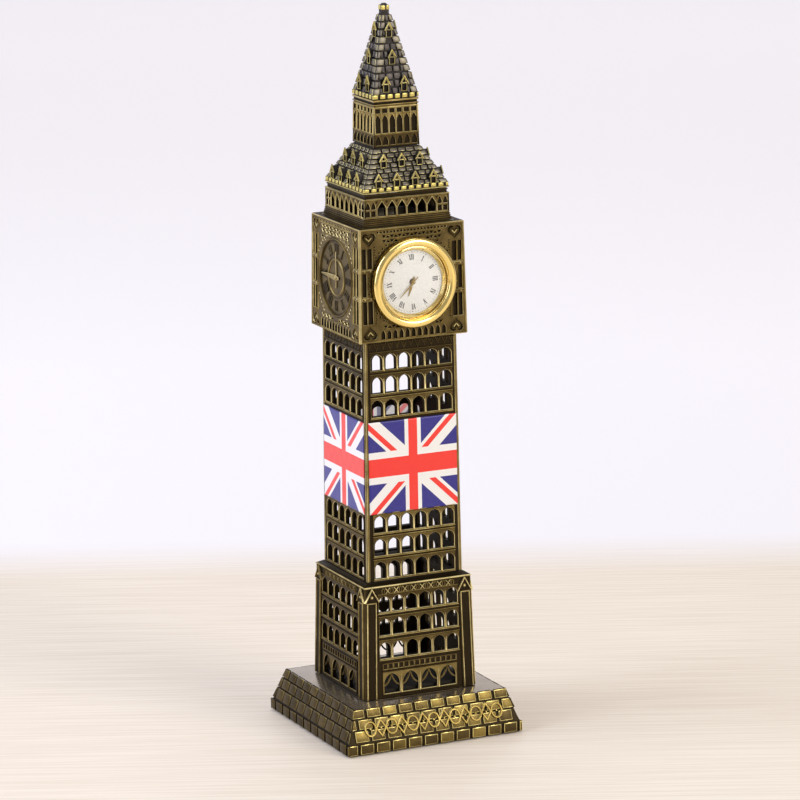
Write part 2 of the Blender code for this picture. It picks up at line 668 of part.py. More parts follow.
def build_train():
    """Motion work under the dial, then the wheels from the rotor to the centre."""
    middle = (0.0, 0.0)
    pinion = gear(middle, CANNON_TEETH, CANNON_MODULE, MINUTE_AXIS_ANGLE)
    pipe = Region(circle(middle, 0.35, 10), MINUTE_HAND_DEPTH[0] - 0.1)
    cannon = Region(pinion, 4.42, (pipe,))
    hub = Region(circle(middle, 1.45, 16), 5.0, (cannon,))
    pivot = Region(circle(middle, 0.4, 10), 8.9)
    wheel = gear(middle, CENTRE_TEETH, TRAIN_MODULE, INTERMEDIATE_ANGLE)
    clock_slab("centre_wheel", wheel, CENTRE_DEPTH, "brass", [hub], [pivot])

    bore = Region(circle(middle, 0.65, 12))
    sleeve = Region(circle(middle, 0.9, 12), HOUR_HAND_DEPTH[0] - 0.1, (bore,))
    wheel = gear(middle, HOUR_TEETH, MOTION_MODULE, MINUTE_AXIS_ANGLE)
    clock_slab("hour_wheel", wheel, MOTION_DEPTH, "brass", [sleeve], [bore])

    at = MINUTE_AXIS
    towards_centre = MINUTE_AXIS_ANGLE + 180
    pinion = gear(at, MINUTE_PINION_TEETH, MOTION_MODULE, towards_centre + 180 / MINUTE_PINION_TEETH)
    wheel = gear(at, MINUTE_TEETH, CANNON_MODULE, towards_centre + 180 / MINUTE_TEETH)
    pivot = Region(circle(at, 0.4, 10), 5.6)
    clock_slab("minute_wheel", wheel, CANNON_DEPTH, "brass", [Region(pinion, 3.95)], [pivot], at)

    at = INTERMEDIATE_AXIS
    towards_centre = INTERMEDIATE_ANGLE + 180
    pivot = Region(circle(at, 0.25, 8), 5.3)
    pinion = gear(at, PINION_TEETH, TRAIN_MODULE, towards_centre + 180 / PINION_TEETH)
    wheel = gear(at, INTERMEDIATE_TEETH, TRAIN_MODULE, ROTOR_ANGLE)
    clock_slab("intermediate_wheel", wheel, INTERMEDIATE_DEPTH, "brass",
               [Region(pinion, 6.05, (pivot,))], [Region(circle(at, 0.4, 10), 8.9)], at)

    at = ROTOR_AXIS
    pivot = Region(circle(at, 0.25, 8), 5.3)
    pinion = gear(at, PINION_TEETH, TRAIN_MODULE, ROTOR_ANGLE + 180 + 180 / PINION_TEETH)
    clock_slab("rotor", circle(at, 1.4, 20), MAGNET_DEPTH, "steel",
               [Region(pinion, 6.7, (pivot,))], [Region(circle(at, 0.4, 10), 8.9)], at)


def build_movement():
    """Main plate, bridge, stator, coil, cell, contact, board, stem and the bridge's screws."""
    pivots = [(0.0, 0.0), MINUTE_AXIS, INTERMEDIATE_AXIS, ROTOR_AXIS, *PILLARS]
    bores = (1.75, 0.7, 0.55, 0.55, 0.8, 0.8)
    holes = [Region(circle(at, bore, 12)) for at, bore in zip(pivots, bores)]
    clock_slab("movement_plate", circle((0.0, 0.0), 14.4, 40), PLATE_DEPTH, "brass", holes, holes)

    arbors = [Region(circle(at, 0.7, 12)) for at in ((0.0, 0.0), INTERMEDIATE_AXIS, ROTOR_AXIS)]
    screw_holes = [Region(circle(at, 0.8, 12)) for at in PILLARS]
    feet = [Region(circle(at, 1.3, 12), PLATE_DEPTH[1] + GAP, (hole,))
            for at, hole in zip(PILLARS, screw_holes)]
    bridge_outline = [(-12.2, 0.0), (-11.4, -1.4), (1.6, -2.2), (2.4, -0.6), (4.2, 6.2), (3.2, 7.6),
                      (-5.4, 7.8), (-12.2, 2.6)]
    clock_slab("train_bridge", bridge_outline, BRIDGE_DEPTH, "steel", feet + arbors,
               screw_holes + arbors)
    head = BRIDGE_DEPTH[1] + GAP
    screw = [(0.0, 5.3), (0.5, 5.3), (0.5, head), (1.1, head), (1.1, head + 0.5), (0.0, head + 0.5)]
    for number, (x, z) in enumerate(PILLARS, 1):
        def frame(a, b, depth, x=x, z=z):
            return clock_frame(x + a, z + b, depth)
        piece(f"bridge_screw_{number}", turned(frame, screw, 12), "steel", clock_origin((x, z)), smooth=True)

    stator = [(-8.4, 3.4), (1.0, 3.4), (1.0, 7.9), (4.9, 7.9), (4.9, 10.9), (3.6, 10.9), (3.6, 8.9),
              (-6.9, 8.9), (-6.9, 10.9), (-8.4, 10.9)]
    hole = Region(circle(ROTOR_AXIS, 1.75, 20))
    clock_slab("stator", stator, STATOR_DEPTH, "steel", [hole], [hole])

    def coil_frame(a, b, reach):
        return clock_frame(reach, 10.4 + a, 7.4 + b)

    coil = [(0.0, -6.6), (1.2, -6.6), (1.2, -5.9), (1.0, -5.9), (1.0, 2.6), (1.2, 2.6), (1.2, 3.3), (0.0, 3.3)]
    piece("coil", turned(coil_frame, coil, 16), "copper", clock_origin((0.0, 10.4)), smooth=True)

    def cell_frame(a, b, depth):
        return clock_frame(CELL_CENTRE[0] + a, CELL_CENTRE[1] + b, depth)

    cell = [(0.0, 6.1), (CELL_RADIUS, 6.1), (CELL_RADIUS, 7.9), (2.9, 8.1), (0.0, 8.1)]
    piece("button_cell", turned(cell_frame, cell, 28), "steel", clock_origin(CELL_CENTRE), smooth=True)
    strip = [(3.7, -6.9), (10.0, -9.3), (10.6, -7.7), (4.3, -5.3)]
    foot = Region(circle((9.6, -8.3), 0.6, 10), PLATE_DEPTH[1] + GAP)
    clock_slab("battery_contact", strip, (8.4, 8.65), "brass", [foot])
    board = [(-11.5, -2.4), (-5.6, -2.4), (-3.5, -5.0), (0.3, -5.2), (0.3, -10.5), (-4.0, -12.4), (-9.4, -9.0)]
    clock_slab("circuit_board", board, (6.1, 6.5), "board_green")

    base = rectangle(9.0, 12.2, -1.9, 1.9)
    prongs = [Region(rectangle(10.1, 10.5, min(z), max(z)), 7.6) for z in ((0.62, 1.1), (-0.62, -1.1))]
    clock_slab("setting_lever", base, (6.1, 6.4), "steel", back=prongs)
    stem = [(0.0, 5.4), (0.45, 5.4), (0.45, 9.5), (0.7, 9.5), (0.7, 9.9), (0.45, 9.9), (0.45, 10.7),
            (0.7, 10.7), (0.7, 11.1), (0.45, 11.1), (0.45, CROWN_REACH[0]), (CROWN_RADIUS, CROWN_REACH[0]),
            (CROWN_RADIUS, CROWN_REACH[1] - 0.3), (1.6, CROWN_REACH[1]), (0.0, CROWN_REACH[1])]
    crown = turned(stem_frame, stem, 18)
    piece("crown_stem", crown, "steel", stem_frame(0.0, 0.0, CROWN_REACH[1]), smooth=True)


def main():
    for old in list(bpy.data.objects):
        bpy.data.objects.remove(old)
    build_base()
    build_storey()
    build_shaft()
    build_stage()
    build_belfry()
    build_roofs()
    build_insert_shell()
    build_hands()
    build_train()
    build_movement()


main()
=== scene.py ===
"""Looks of the miniature clock tower: cast tracery, printed stickers and the round quartz clock.

Shapes are worked out in millimetres on each wall of the tower and turned into metres at the end.
"""

import math
import random

import bmesh
import bpy
from mathutils import Matrix, Vector
from mathutils.geometry import delaunay_2d_cdt


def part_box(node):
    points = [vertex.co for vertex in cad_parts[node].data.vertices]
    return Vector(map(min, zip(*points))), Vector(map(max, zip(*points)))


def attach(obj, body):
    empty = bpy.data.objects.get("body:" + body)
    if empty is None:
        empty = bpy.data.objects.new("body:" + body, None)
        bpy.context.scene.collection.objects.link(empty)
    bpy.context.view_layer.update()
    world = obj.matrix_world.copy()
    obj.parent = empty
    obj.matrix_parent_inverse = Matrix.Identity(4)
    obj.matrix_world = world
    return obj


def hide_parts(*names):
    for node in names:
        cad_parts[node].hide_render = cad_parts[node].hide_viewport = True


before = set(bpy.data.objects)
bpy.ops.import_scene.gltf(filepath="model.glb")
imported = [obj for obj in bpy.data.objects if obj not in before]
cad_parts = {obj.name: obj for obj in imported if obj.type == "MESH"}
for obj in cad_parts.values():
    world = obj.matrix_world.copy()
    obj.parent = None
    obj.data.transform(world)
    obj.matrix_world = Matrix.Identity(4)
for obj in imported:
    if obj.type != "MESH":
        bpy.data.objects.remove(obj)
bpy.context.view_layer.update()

MM = 0.001
SIDES = ("front", "right", "back", "left")
SEAM = 0.21                     # set-back of a panel's mitred edges
EVEN = 0.5                      # rub of a surface that is the same all over
chance = random.Random(7)


def span(node):
    """Lowest and highest corners of a CAD node, in millimetres."""
    low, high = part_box(node)
    return Vector(low) / MM, Vector(high) / MM


def levels(node):
    """Foot, top and half width of a CAD node, in millimetres."""
    low, high = span(node)
    return low.z, high.z, high.x


def show(name, data):
    """A new object in the scene."""
    made = bpy.data.objects.new(name, data)
    bpy.context.scene.collection.objects.link(made)
    return made


# ---- outlines

def rectangle(x0, x1, z0, z1):
    return [(x0, z0), (x1, z0), (x1, z1), (x0, z1)]


def tapered(foot_half, top_half, z0, z1):
    """A centred outline whose upright edges lean."""
    return [(-foot_half, z0), (foot_half, z0), (top_half, z1), (-top_half, z1)]


def circle(cx, cz, radius, steps=24, first=0.0):
    angles = [first + 2 * math.pi * i / steps for i in range(steps)]
    return [(cx + radius * math.cos(a), cz + radius * math.sin(a)) for a in angles]


def diamond(cx, cz, wide, high):
    return [(cx - wide / 2, cz), (cx, cz - high / 2), (cx + wide / 2, cz), (cx, cz + high / 2)]


def arch(x, foot, top, width, spring=0.6, steps=5):
    """An opening with upright jambs and a round head that comes to a slight point."""
    half = width / 2
    spring_z = foot + (top - foot) * spring
    head = [(half * (1 - (i / steps) ** 2) ** 0.65, spring_z + (top - spring_z) * i / steps)
            for i in range(steps)]
    right = [(x + dx, z) for dx, z in head]
    left = [(x - dx, z) for dx, z in reversed(head)]
    return [(x - half, foot), (x + half, foot)] + right + [(x, top)] + left


def lancet(x, foot, top, width, spring=0.6):
    """A narrower light whose head is two straight slopes."""
    half = width / 2
    spring_z = foot + (top - foot) * spring
    knee, knee_z = half * 0.55, spring_z + (top - spring_z) * 0.6
    return [(x - half, foot), (x + half, foot), (x + half, spring_z), (x + knee, knee_z), (x, top),
            (x - knee, knee_z), (x - half, spring_z)]


def triangle(x, z, wide, high, up):
    """An upright triangle, or one that hangs point down."""
    if up:
        return [(x - wide / 2, z - high / 2), (x + wide / 2, z - high / 2), (x, z + high / 2)]
    return [(x - wide / 2, z + high / 2), (x, z - high / 2), (x + wide / 2, z + high / 2)]


def quatrefoil(cx, cz, radius, steps=16):
    """Four rounded lobes."""
    angles = [2 * math.pi * (i + 0.5) / steps for i in range(steps)]
    sizes = [radius * (0.78 + 0.22 * math.cos(4 * a)) for a in angles]
    return [(cx + r * math.cos(a), cz + r * math.sin(a)) for a, r in zip(angles, sizes)]


def heart(cx, cz, size, up):
    """A heart whose point is down, or up when it is inverted."""
    points = []
    turns = (0, 34, 52, 70, 90, 110, 128, 146)
    for degrees in turns + tuple(180 + turn for turn in turns):
        t = math.radians(degrees)
        x = 16 * math.sin(t) ** 3
        z = 13 * math.cos(t) - 5 * math.cos(2 * t) - 2 * math.cos(3 * t) - math.cos(4 * t)
        points.append((cx - up * x * size / 32, cz + up * (z + 2.5) * size / 32))
    return points


def mirrored(path):
    return [(-x, z) for x, z in reversed(path)]


def inset(outline, distance):
    """Move each edge of a counter-clockwise outline inwards by the distance."""
    result = []
    for i, (bx, bz) in enumerate(outline):
        ax, az = outline[i - 1]
        cx, cz = outline[(i + 1) % len(outline)]
        one = Vector((bx - ax, bz - az)).normalized()
        two = Vector((cx - bx, cz - bz)).normalized()
        share = distance / max(1 + one.dot(two), 0.35)
        result.append((bx - share * (one.y + two.y), bz + share * (one.x + two.x)))
    return result


def spread(count, pitch):
    """Middles of a centred row."""
    return [(i - (count - 1) / 2) * pitch for i in range(count)]


# ---- frames

def taper(z0, z1, half0, half1):
    return lambda z: half0 + (half1 - half0) * (z - z0) / (z1 - z0)


def on_wall(side, half_at):
    """Points on a side: x along it, z up and out away from its face."""
    turn = Matrix.Rotation(SIDES.index(side) * math.pi / 2, 4, "Z")
    return lambda x, z, out: turn @ Vector((x, -half_at(z) - out, z))


def upright(side, half):
    """The same, for an upright plane at one distance from the tower's axis."""
    return on_wall(side, lambda z: half)


# ---- castings

def left_side_painted_light(spot):
    """Painted light and shade on the left side, as a factor on its rub: lower than on the other sides near
    the table, and higher high up.
    """
    if spot.x > 0.0003 - abs(spot.y):
        return 1.0
    at_table, gain, full_height = 0.72, 0.38, 0.2
    return at_table + gain * min(spot.z / full_height, 1.0)


class Casting:
    """The closed solids of one piece, in millimetres, with how rubbed bright each face is; on the left side,
    finish scales that by painted light and shade.
    """

    def __init__(self, place=None):
        self.place = place
        self.points, self.faces, self.rubs = [], [], []

    def add(self, points):
        first = len(self.points)
        self.points += points
        return list(range(first, len(self.points)))

    def ring(self, outline, out):
        return self.add(self.place(x, z, out) for x, z in outline)

    def face(self, corners, rub):
        self.faces.append(corners)
        self.rubs.append(rub)

    def band(self, one, other, rub, closed=True):
        """Quads between two rings, or two open rows, with the same number of points."""
        count = len(one)
        for i in range(count if closed else count - 1):
            j = (i + 1) % count
            self.face([one[i], one[j], other[j], other[i]], rub)

    def fill(self, outlines, rings, rub):
        """Fill between an outer ring and the rings of its holes."""
        if len(rings) == 1:
            self.face(rings[0], rub)
            return
        points = [Vector(p) for outline in outlines for p in outline]
        corners = [corner for ring in rings for corner in ring]
        loops, first = [], 0
        for outline in outlines:
            loops.append(list(range(first, first + len(outline))))
            first += len(outline)
        filled = delaunay_2d_cdt(points, [], loops, 1, 1e-6)
        for triangle, around in zip(filled[2], filled[5]):
            if around == [0]:
                self.face([corners[i] for i in triangle], rub)

    def plate(self, outline, holes, low, high, rubs, edge=0.2, back=None):
        """A plate between two heights, with holes whose front edges are worn off at 45 degrees.

        rubs are for its face, its worn edges, its walls and, when it differs, its outer edge.
        """
        face, worn, wall, border = (*rubs, rubs[1])[:4]
        back = back or outline
        mouths = [inset(hole, -edge) for hole in holes]
        front = [self.ring(o, high) for o in (inset(outline, edge), *mouths)]
        rims = [self.ring(o, high - edge) for o in (outline, *holes)]
        rear = [self.ring(o, low) for o in (back, *holes)]
        self.fill((inset(outline, edge), *mouths), front, face)
        self.fill((back, *holes), rear, wall)
        for number, (top, rim, bottom) in enumerate(zip(front, rims, rear)):
            self.band(top, rim, worn if number else border)
            self.band(rim, bottom, wall)

    def block(self, outline, low, high, rubs=(0.6, 1.0, 0.15), edge=0.2):
        self.plate(outline, (), low, high, rubs, edge)

    def pillow(self, outline, low, high, rubs, edge=0.35):
        """A block with a two-step rounded rim, for stones and shingles."""
        face, worn, wall = rubs
        levels = ((0.0, low), (0.0, high - edge), (edge * 0.35, high - edge * 0.3), (edge, high))
        rings = [self.ring(inset(outline, step), out) for step, out in levels]
        for one, other, rub in zip(rings, rings[1:], (wall, (wall + worn) / 2, worn)):
            self.band(one, other, rub)
        self.face(rings[0], wall)
        self.face(rings[-1], face)

    def ribbon(self, path, width, low, high, rubs=(0.85, 1.0), closed=False, crown=0.5):
        """A moulding that follows a path, with mitred bends and a flat crown."""
        count = len(path)
        rows = [[], [], [], []]
        for i in range(count):
            before = path[i - 1] if closed or i else None
            after = path[(i + 1) % count] if closed or i < count - 1 else None
            here = Vector(path[i])
            one = (here - Vector(before)).normalized() if before else None
            two = (Vector(after) - here).normalized() if after else one
            one = one or two
            side = Vector((-(one.y + two.y), one.x + two.x)) / max(1 + one.dot(two), 0.35)
            for row, (share, out) in zip(rows, ((-1, low), (-crown, high), (crown, high), (1, low))):
                x, z = here + side * (width / 2 * share)
                row += self.add([self.place(x, z, out)])
        for one, other, rub in zip(rows, rows[1:] + rows[:1], (rubs[1], rubs[0], rubs[1], 0.1)):
            self.band(one, other, rub, closed)
        if not closed:
            for end in (0, -1):
                self.face([row[end] for row in rows], rubs[1])

    def post(self, x, stations, out, sides=8):
        """A turned upright through (height, radius, rub) stations."""
        turns = [2 * math.pi * i / sides for i in range(sides)]
        rings = [self.add(self.place(x + radius * math.cos(a), z, out + radius * math.sin(a)) for a in turns)
                 for z, radius, _ in stations]
        for (one, other), (_, _, rub) in zip(zip(rings, rings[1:]), stations):
            self.band(one, other, rub)
        self.face(rings[0], stations[0][2])
        self.face(rings[-1], stations[-1][2])

    def boss(self, x, z, radius, low, high, rub=1.0, steps=12):
        """A low dome."""
        rings = []
        for turn in (0.0, 0.35, 0.7):
            share = math.cos(turn * math.pi / 2)
            rise = low + (high - low) * math.sin(turn * math.pi / 2)
            rings.append(self.ring(circle(x, z, radius * share, steps), rise))
        self.face(rings[0], rub)
        for one, other in zip(rings, rings[1:]):
            self.band(one, other, rub)
        self.face(rings[-1], rub)

    def square(self, levels, inner=None):
        """A square stage through (half width, height, rub of the face above) levels.

        It is solid, or has an upright square opening down its middle.
        """
        corners = ((-1, -1), (1, -1), (1, 1), (-1, 1))
        if inner:
            levels = [*levels, (inner, levels[-1][1], 0.1), (inner, levels[0][1], 0.1)]
        rings = [self.add(Vector((x * half, y * half, z)) for x, y in corners) for half, z, _ in levels]
        for one, other, (_, _, rub) in zip(rings, rings[1:] + (rings[:1] if inner else []), levels):
            self.band(one, other, rub)
        if not inner:
            self.face(rings[0], 0.1)
            self.face(rings[-1], levels[-1][2])

    def lathe(self, profile, steps, ring=False):
        """Revolve (radius, height) points; place takes two offsets from the axis and the height."""
        rings = []
        for radius, height in profile:
            turns = [2 * math.pi * i / steps for i in range(steps if radius > 0 else 1)]
            rings.append(self.add(self.place(radius * math.cos(a), radius * math.sin(a), height)
                                  for a in turns))
        pairs = list(zip(rings, rings[1:])) + ([(rings[-1], rings[0])] if ring else [])
        for one, other in pairs:
            if len(one) == len(other):
                self.band(one, other, EVEN)
                continue
            tip, rim = (one, other) if len(one) == 1 else (other, one)
            for i in range(steps):
                self.face([tip[0], rim[i], rim[(i + 1) % steps]], EVEN)

    def finish(self, name, nodes=(), material=None, body="tower", slot="antique_bronze", crease=35):
        """Make the object, in metres, and let it ride on its body in place of its nodes."""
        bm = bmesh.new()
        verts = [bm.verts.new(p * MM) for p in self.points]
        for corners in self.faces:
            bm.faces.new([verts[i] for i in corners])
        bmesh.ops.recalc_face_normals(bm, faces=bm.faces)
        mesh = bpy.data.meshes.new(name)
        bm.to_mesh(mesh)
        bm.free()
        # The left side's rubs are scaled by painted light and shade: darker near the table, lighter high up.
        worn = [r * left_side_painted_light(polygon.center) for r, polygon in zip(self.rubs, mesh.polygons)]
        rub = mesh.attributes.new("rub", "FLOAT", "CORNER")
        rub.data.foreach_set("value", [r for corners, r in zip(self.faces, worn) for _ in corners])
        mesh.shade_smooth()
        mesh.set_sharp_from_angle(angle=math.radians(crease))
        mesh.materials.append(material or CAST)
        piece = show(name, mesh)
        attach(piece, body)
        if nodes:
            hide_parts(*nodes)


# ---- materials

class Shader:
    """A node material, built by short calls that return sockets."""

    def __init__(self, name):
        self.material = bpy.data.materials.new(name)
        self.material.use_nodes = True
        self.tree = self.material.node_tree
        self.surface = self.tree.nodes["Principled BSDF"]

    def node(self, kind, inputs=(), **settings):
        node = self.tree.nodes.new("ShaderNode" + kind)
        for key, value in settings.items():
            setattr(node, key, value)
        for key, value in dict(inputs).items():
            self.set(node.inputs[key], value)
        return node

    def set(self, socket, value):
        if isinstance(value, bpy.types.NodeSocket):
            self.tree.links.new(value, socket)
        else:
            socket.default_value = value

    def maths(self, operation, *values, clamp=False):
        node = self.node("Math", enumerate(values), operation=operation, use_clamp=clamp)
        return node.outputs[0]

    def scale(self, value, by, plus):
        return self.maths("MULTIPLY_ADD", value, by, plus)

    def ramp(self, factor, stops):
        node = self.node("ValToRGB", {"Fac": factor})
        ramp = node.color_ramp
        while len(ramp.elements) < len(stops):
            ramp.elements.new(0.5)
        for element, (place, colour) in zip(ramp.elements, stops):
            element.position = place
            element.color = (*colour, 1.0) if isinstance(colour, tuple) else (colour, colour, colour, 1.0)
        return node.outputs["Color"]

    def place(self):
        return self.node("TexCoord").outputs["Object"]

    def noise(self, scale, detail=3.0, rough=0.5, place=None):
        inputs = {"Vector": place or self.place(), "Scale": scale, "Detail": detail, "Roughness": rough}
        return self.node("TexNoise", inputs).outputs["Fac"]

    def mix(self, factor, one, two, blend="MIX"):
        node = self.node("Mix", data_type="RGBA", blend_type=blend)
        for index, value in ((0, factor), (6, one), (7, two)):
            self.set(node.inputs[index], value)
        return node.outputs[2]

    def bump(self, height, strength, distance):
        inputs = {"Height": height, "Strength": strength, "Distance": distance}
        self.set(self.surface.inputs["Normal"], self.node("Bump", inputs).outputs["Normal"])

    def join(self, kind, one, two, inputs=()):
        """Send two shaders through one that joins them, in place of the usual surface."""
        both = self.node(kind, inputs)
        for part, socket in zip((one, two), both.inputs[-2:]):
            self.set(socket, part.outputs[0])
        self.set(self.tree.nodes["Material Output"].inputs["Surface"], both.outputs[0])
        return self.material

    def finish(self, **inputs):
        for key, value in inputs.items():
            self.set(self.surface.inputs[key.replace("_", " ")], value)
        return self.material


def rgb(red, green, blue):
    return (red, green, blue, 1.0)


def bronze(name, stops=None, grain=0.08, rub=None, metallic=0.9):
    """Antiqued plating: dark in the hollows, rubbed to olive gold on whatever stands out."""
    s = Shader(name)
    # The rub attribute carries the plating's wear and also painted light and shade: the left side darker near
    # the table and lighter high up, the shaft's top rows darker under the clock stage, and the upright hand
    # of the cast dial darker.
    rub = rub or s.node("Attribute", attribute_name="rub").outputs["Fac"]
    patches = s.noise(160.0, 4.0, 0.6)
    specks = s.noise(1900.0, 3.0, 0.65)
    hollow = s.node("AmbientOcclusion", {"Distance": 0.0016}, samples=6).outputs["AO"]
    worn = s.maths("MULTIPLY", rub, s.scale(patches, 0.6, 0.68))
    worn = s.maths("MULTIPLY", worn, s.scale(hollow, 0.38, 0.62))
    worn = s.maths("ADD", worn, s.scale(specks, grain * 2, -grain), clamp=True)
    colour = s.ramp(worn, stops or WARM)
    s.bump(specks, 0.22, 0.00006)
    return s.finish(Base_Color=colour, Metallic=metallic, Roughness=s.scale(worn, -0.16, 0.50))


def polished_bronze():
    """The base's level top: smooth enough to mirror the tower."""
    s = Shader("polished_bronze")
    haze = s.noise(60.0, 3.0)
    fine = s.noise(2600.0, 2.0)
    colour = s.ramp(haze, [(0.3, (0.33, 0.285, 0.22)), (0.7, (0.45, 0.39, 0.305))])
    s.bump(fine, 0.08, 0.00003)
    return s.finish(Base_Color=colour, Metallic=0.9, Roughness=s.scale(haze, 0.12, 0.16))


def plain_metal(name, colour, rough, grain=0.05, metallic=1.0, scale=1400.0):
    """A plated or stamped metal with fine grain and slight smudges."""
    s = Shader(name)
    fine = s.noise(scale, 3.0)
    smudge = s.noise(220.0, 3.0)
    dark = rgb(*[c * (1 - grain * 3) for c in colour])
    tint = s.mix(smudge, dark, rgb(*colour))
    s.bump(fine, grain, 0.00004)
    return s.finish(Base_Color=tint, Metallic=metallic,
                    Roughness=s.scale(smudge, 0.12, rough - 0.06))


def moulded(name, colour, rough, scale=900.0, strength=0.12):
    """Plastic, rubber or felt, by its roughness and the size of its grain."""
    s = Shader(name)
    fine = s.noise(scale, 4.0, 0.7)
    tint = s.mix(fine, rgb(*[c * 0.8 for c in colour]), rgb(*colour))
    s.bump(fine, strength, 0.00008)
    return s.finish(Base_Color=tint, Roughness=rough)


def dial_white():
    s = Shader("dial_white")
    specks = s.noise(1500.0, 2.0, 0.8)
    colour = s.ramp(specks, [(0.25, (0.80, 0.80, 0.81)), (0.5, (0.96, 0.955, 0.95))])
    s.bump(specks, 0.05, 0.00002)
    return s.finish(Base_Color=colour, Roughness=0.45)


def lens_glass():
    """Clear where it is looked through, with a faint reflection."""
    s = Shader("lens_glass")
    clear = s.node("BsdfTransparent", {"Color": rgb(0.985, 0.99, 0.99)})
    gloss = s.node("BsdfGlossy", {"Color": rgb(1, 1, 1), "Roughness": 0.02})
    facing = s.node("Fresnel", {"IOR": 1.45}).outputs["Fac"]
    return s.join("MixShader", clear, gloss, {0: s.maths("MULTIPLY", facing, 0.6)})


def flag_colour(s):
    """A national flag on a field 60 wide and 30 high."""
    place = s.node("Attribute", attribute_name="print").outputs["Vector"]
    apart = s.node("SeparateXYZ", {"Vector": place})
    across, up = apart.outputs["X"], apart.outputs["Y"]
    wide, high = s.maths("ABSOLUTE", across), s.maths("ABSOLUTE", up)
    diagonal = s.maths("MULTIPLY", s.maths("MULTIPLY", wide, 0.5), s.maths("SIGN", up))
    beside = s.maths("SUBTRACT", up, diagonal)
    turned = s.maths("MULTIPLY", s.maths("MULTIPLY", beside, s.maths("SIGN", across)), 2 / math.sqrt(5))

    def below(value, limit):
        return s.maths("LESS_THAN", value, limit)

    red_side = s.maths("MULTIPLY", below(turned, 2.1), s.maths("GREATER_THAN", turned, 0.1))
    colour = s.mix(below(s.maths("ABSOLUTE", turned), 3.4), BLUE, WHITE)
    colour = s.mix(red_side, colour, RED)
    for beside_limit, across_limit, paint in ((5.5, 5.2, WHITE), (3.0, 3.0, RED)):
        cross = s.maths("MAXIMUM", below(wide, beside_limit), below(high, across_limit))
        colour = s.mix(cross, colour, paint)
    return colour


def sticker_print(name, painted_sheen):
    """The flag under a glossy film; the last argument is how far a painted sheen of the film greys the inks.
    """
    s = Shader(name)
    ink = s.noise(900.0, 3.0)
    colour = s.mix(s.scale(ink, 0.04, painted_sheen), flag_colour(s), rgb(0.62, 0.60, 0.66))
    s.bump(s.noise(140.0, 2.0), 0.08, 0.0002)
    return s.finish(Base_Color=colour, Roughness=0.3, Specular_IOR_Level=0.35)


def film_back():
    """The film from inside the tower: pale, with the inks and the daylight showing through, the daylight
    helped by a painted glow.
    """
    s = Shader("film_back")
    tint = s.mix(0.55, flag_colour(s), rgb(0.85, 0.82, 0.82))
    through = s.node("BsdfTranslucent", {"Color": tint})
    # Painted glow: emission standing in for daylight coming through the film.
    glow = s.node("Emission", {"Color": tint, "Strength": 0.35})
    return s.join("AddShader", through, glow)


FLAG = (60, 30)                 # the field that flag_colour draws on
RED = rgb(0.86, 0.035, 0.022)
WHITE = rgb(0.84, 0.83, 0.81)
BLUE = rgb(0.022, 0.018, 0.22)
WARM = [(0.0, (0.013, 0.009, 0.004)), (0.22, (0.032, 0.021, 0.008)), (0.45, (0.088, 0.061, 0.021)),
        (0.7, (0.28, 0.207, 0.070)), (1.0, (0.90, 0.76, 0.36))]
SLATE = [(0.0, (0.013, 0.011, 0.010)), (0.22, (0.072, 0.063, 0.061)), (0.45, (0.18, 0.162, 0.134)),
         (0.7, (0.42, 0.36, 0.145)), (1.0, (0.82, 0.68, 0.19))]

CAST = bronze("antique_bronze")
# Near-black painted shade for what lies inside the tower: the sheet over the base top and the floor plates.
CAST_DARK = moulded("shadowed_bronze", (0.022, 0.017, 0.010), 0.92, 900.0, 0.3)
CAST_TOP = bronze("rubbed_bronze", rub=0.62)
CAST_ROOF = bronze("roof_bronze", SLATE)
CAST_BASE = bronze("block_bronze", WARM[:3] + [(0.7, (0.29, 0.208, 0.055)), (1.0, (0.92, 0.76, 0.29))], 0.12)
POLISHED = polished_bronze()
GOLD = plain_metal("polished_gold", (0.96, 0.74, 0.27), 0.15, 0.02)
HAND_GOLD = plain_metal("hand_gold", (0.42, 0.30, 0.10), 0.3, 0.05)
GLASS = lens_glass()
DIAL = dial_white()
INK = moulded("dial_ink", (0.035, 0.035, 0.045), 0.5, 2000.0, 0.05)
FELT = moulded("pad_felt", (0.035, 0.09, 0.05), 0.95, 2500.0, 0.9)
CASE = moulded("case_plastic", (0.035, 0.035, 0.04), 0.45)
RUBBER = moulded("grip_rubber", (0.025, 0.025, 0.027), 0.75, 1800.0, 0.3)
BRASS = plain_metal("movement_brass", (0.74, 0.54, 0.24), 0.3, 0.08)
STEEL = plain_metal("steel", (0.56, 0.56, 0.58), 0.28, 0.08)
COPPER = plain_metal("coil_copper", (0.72, 0.30, 0.12), 0.35, 0.2, 0.9, 5200.0)
BOARD = moulded("circuit_board", (0.02, 0.16, 0.06), 0.4, 1200.0, 0.2)

FIELD = (0.16, 0.9, 0.10)       # rubs of a dark wall: face, worn edges of openings, insides
LATTICE = (0.49, 0.84, 0.02)    # rubs of tracery that stands out
LINE = (0.9, 1.0)               # rubs of a thin moulding: crown and flanks


# ---- base

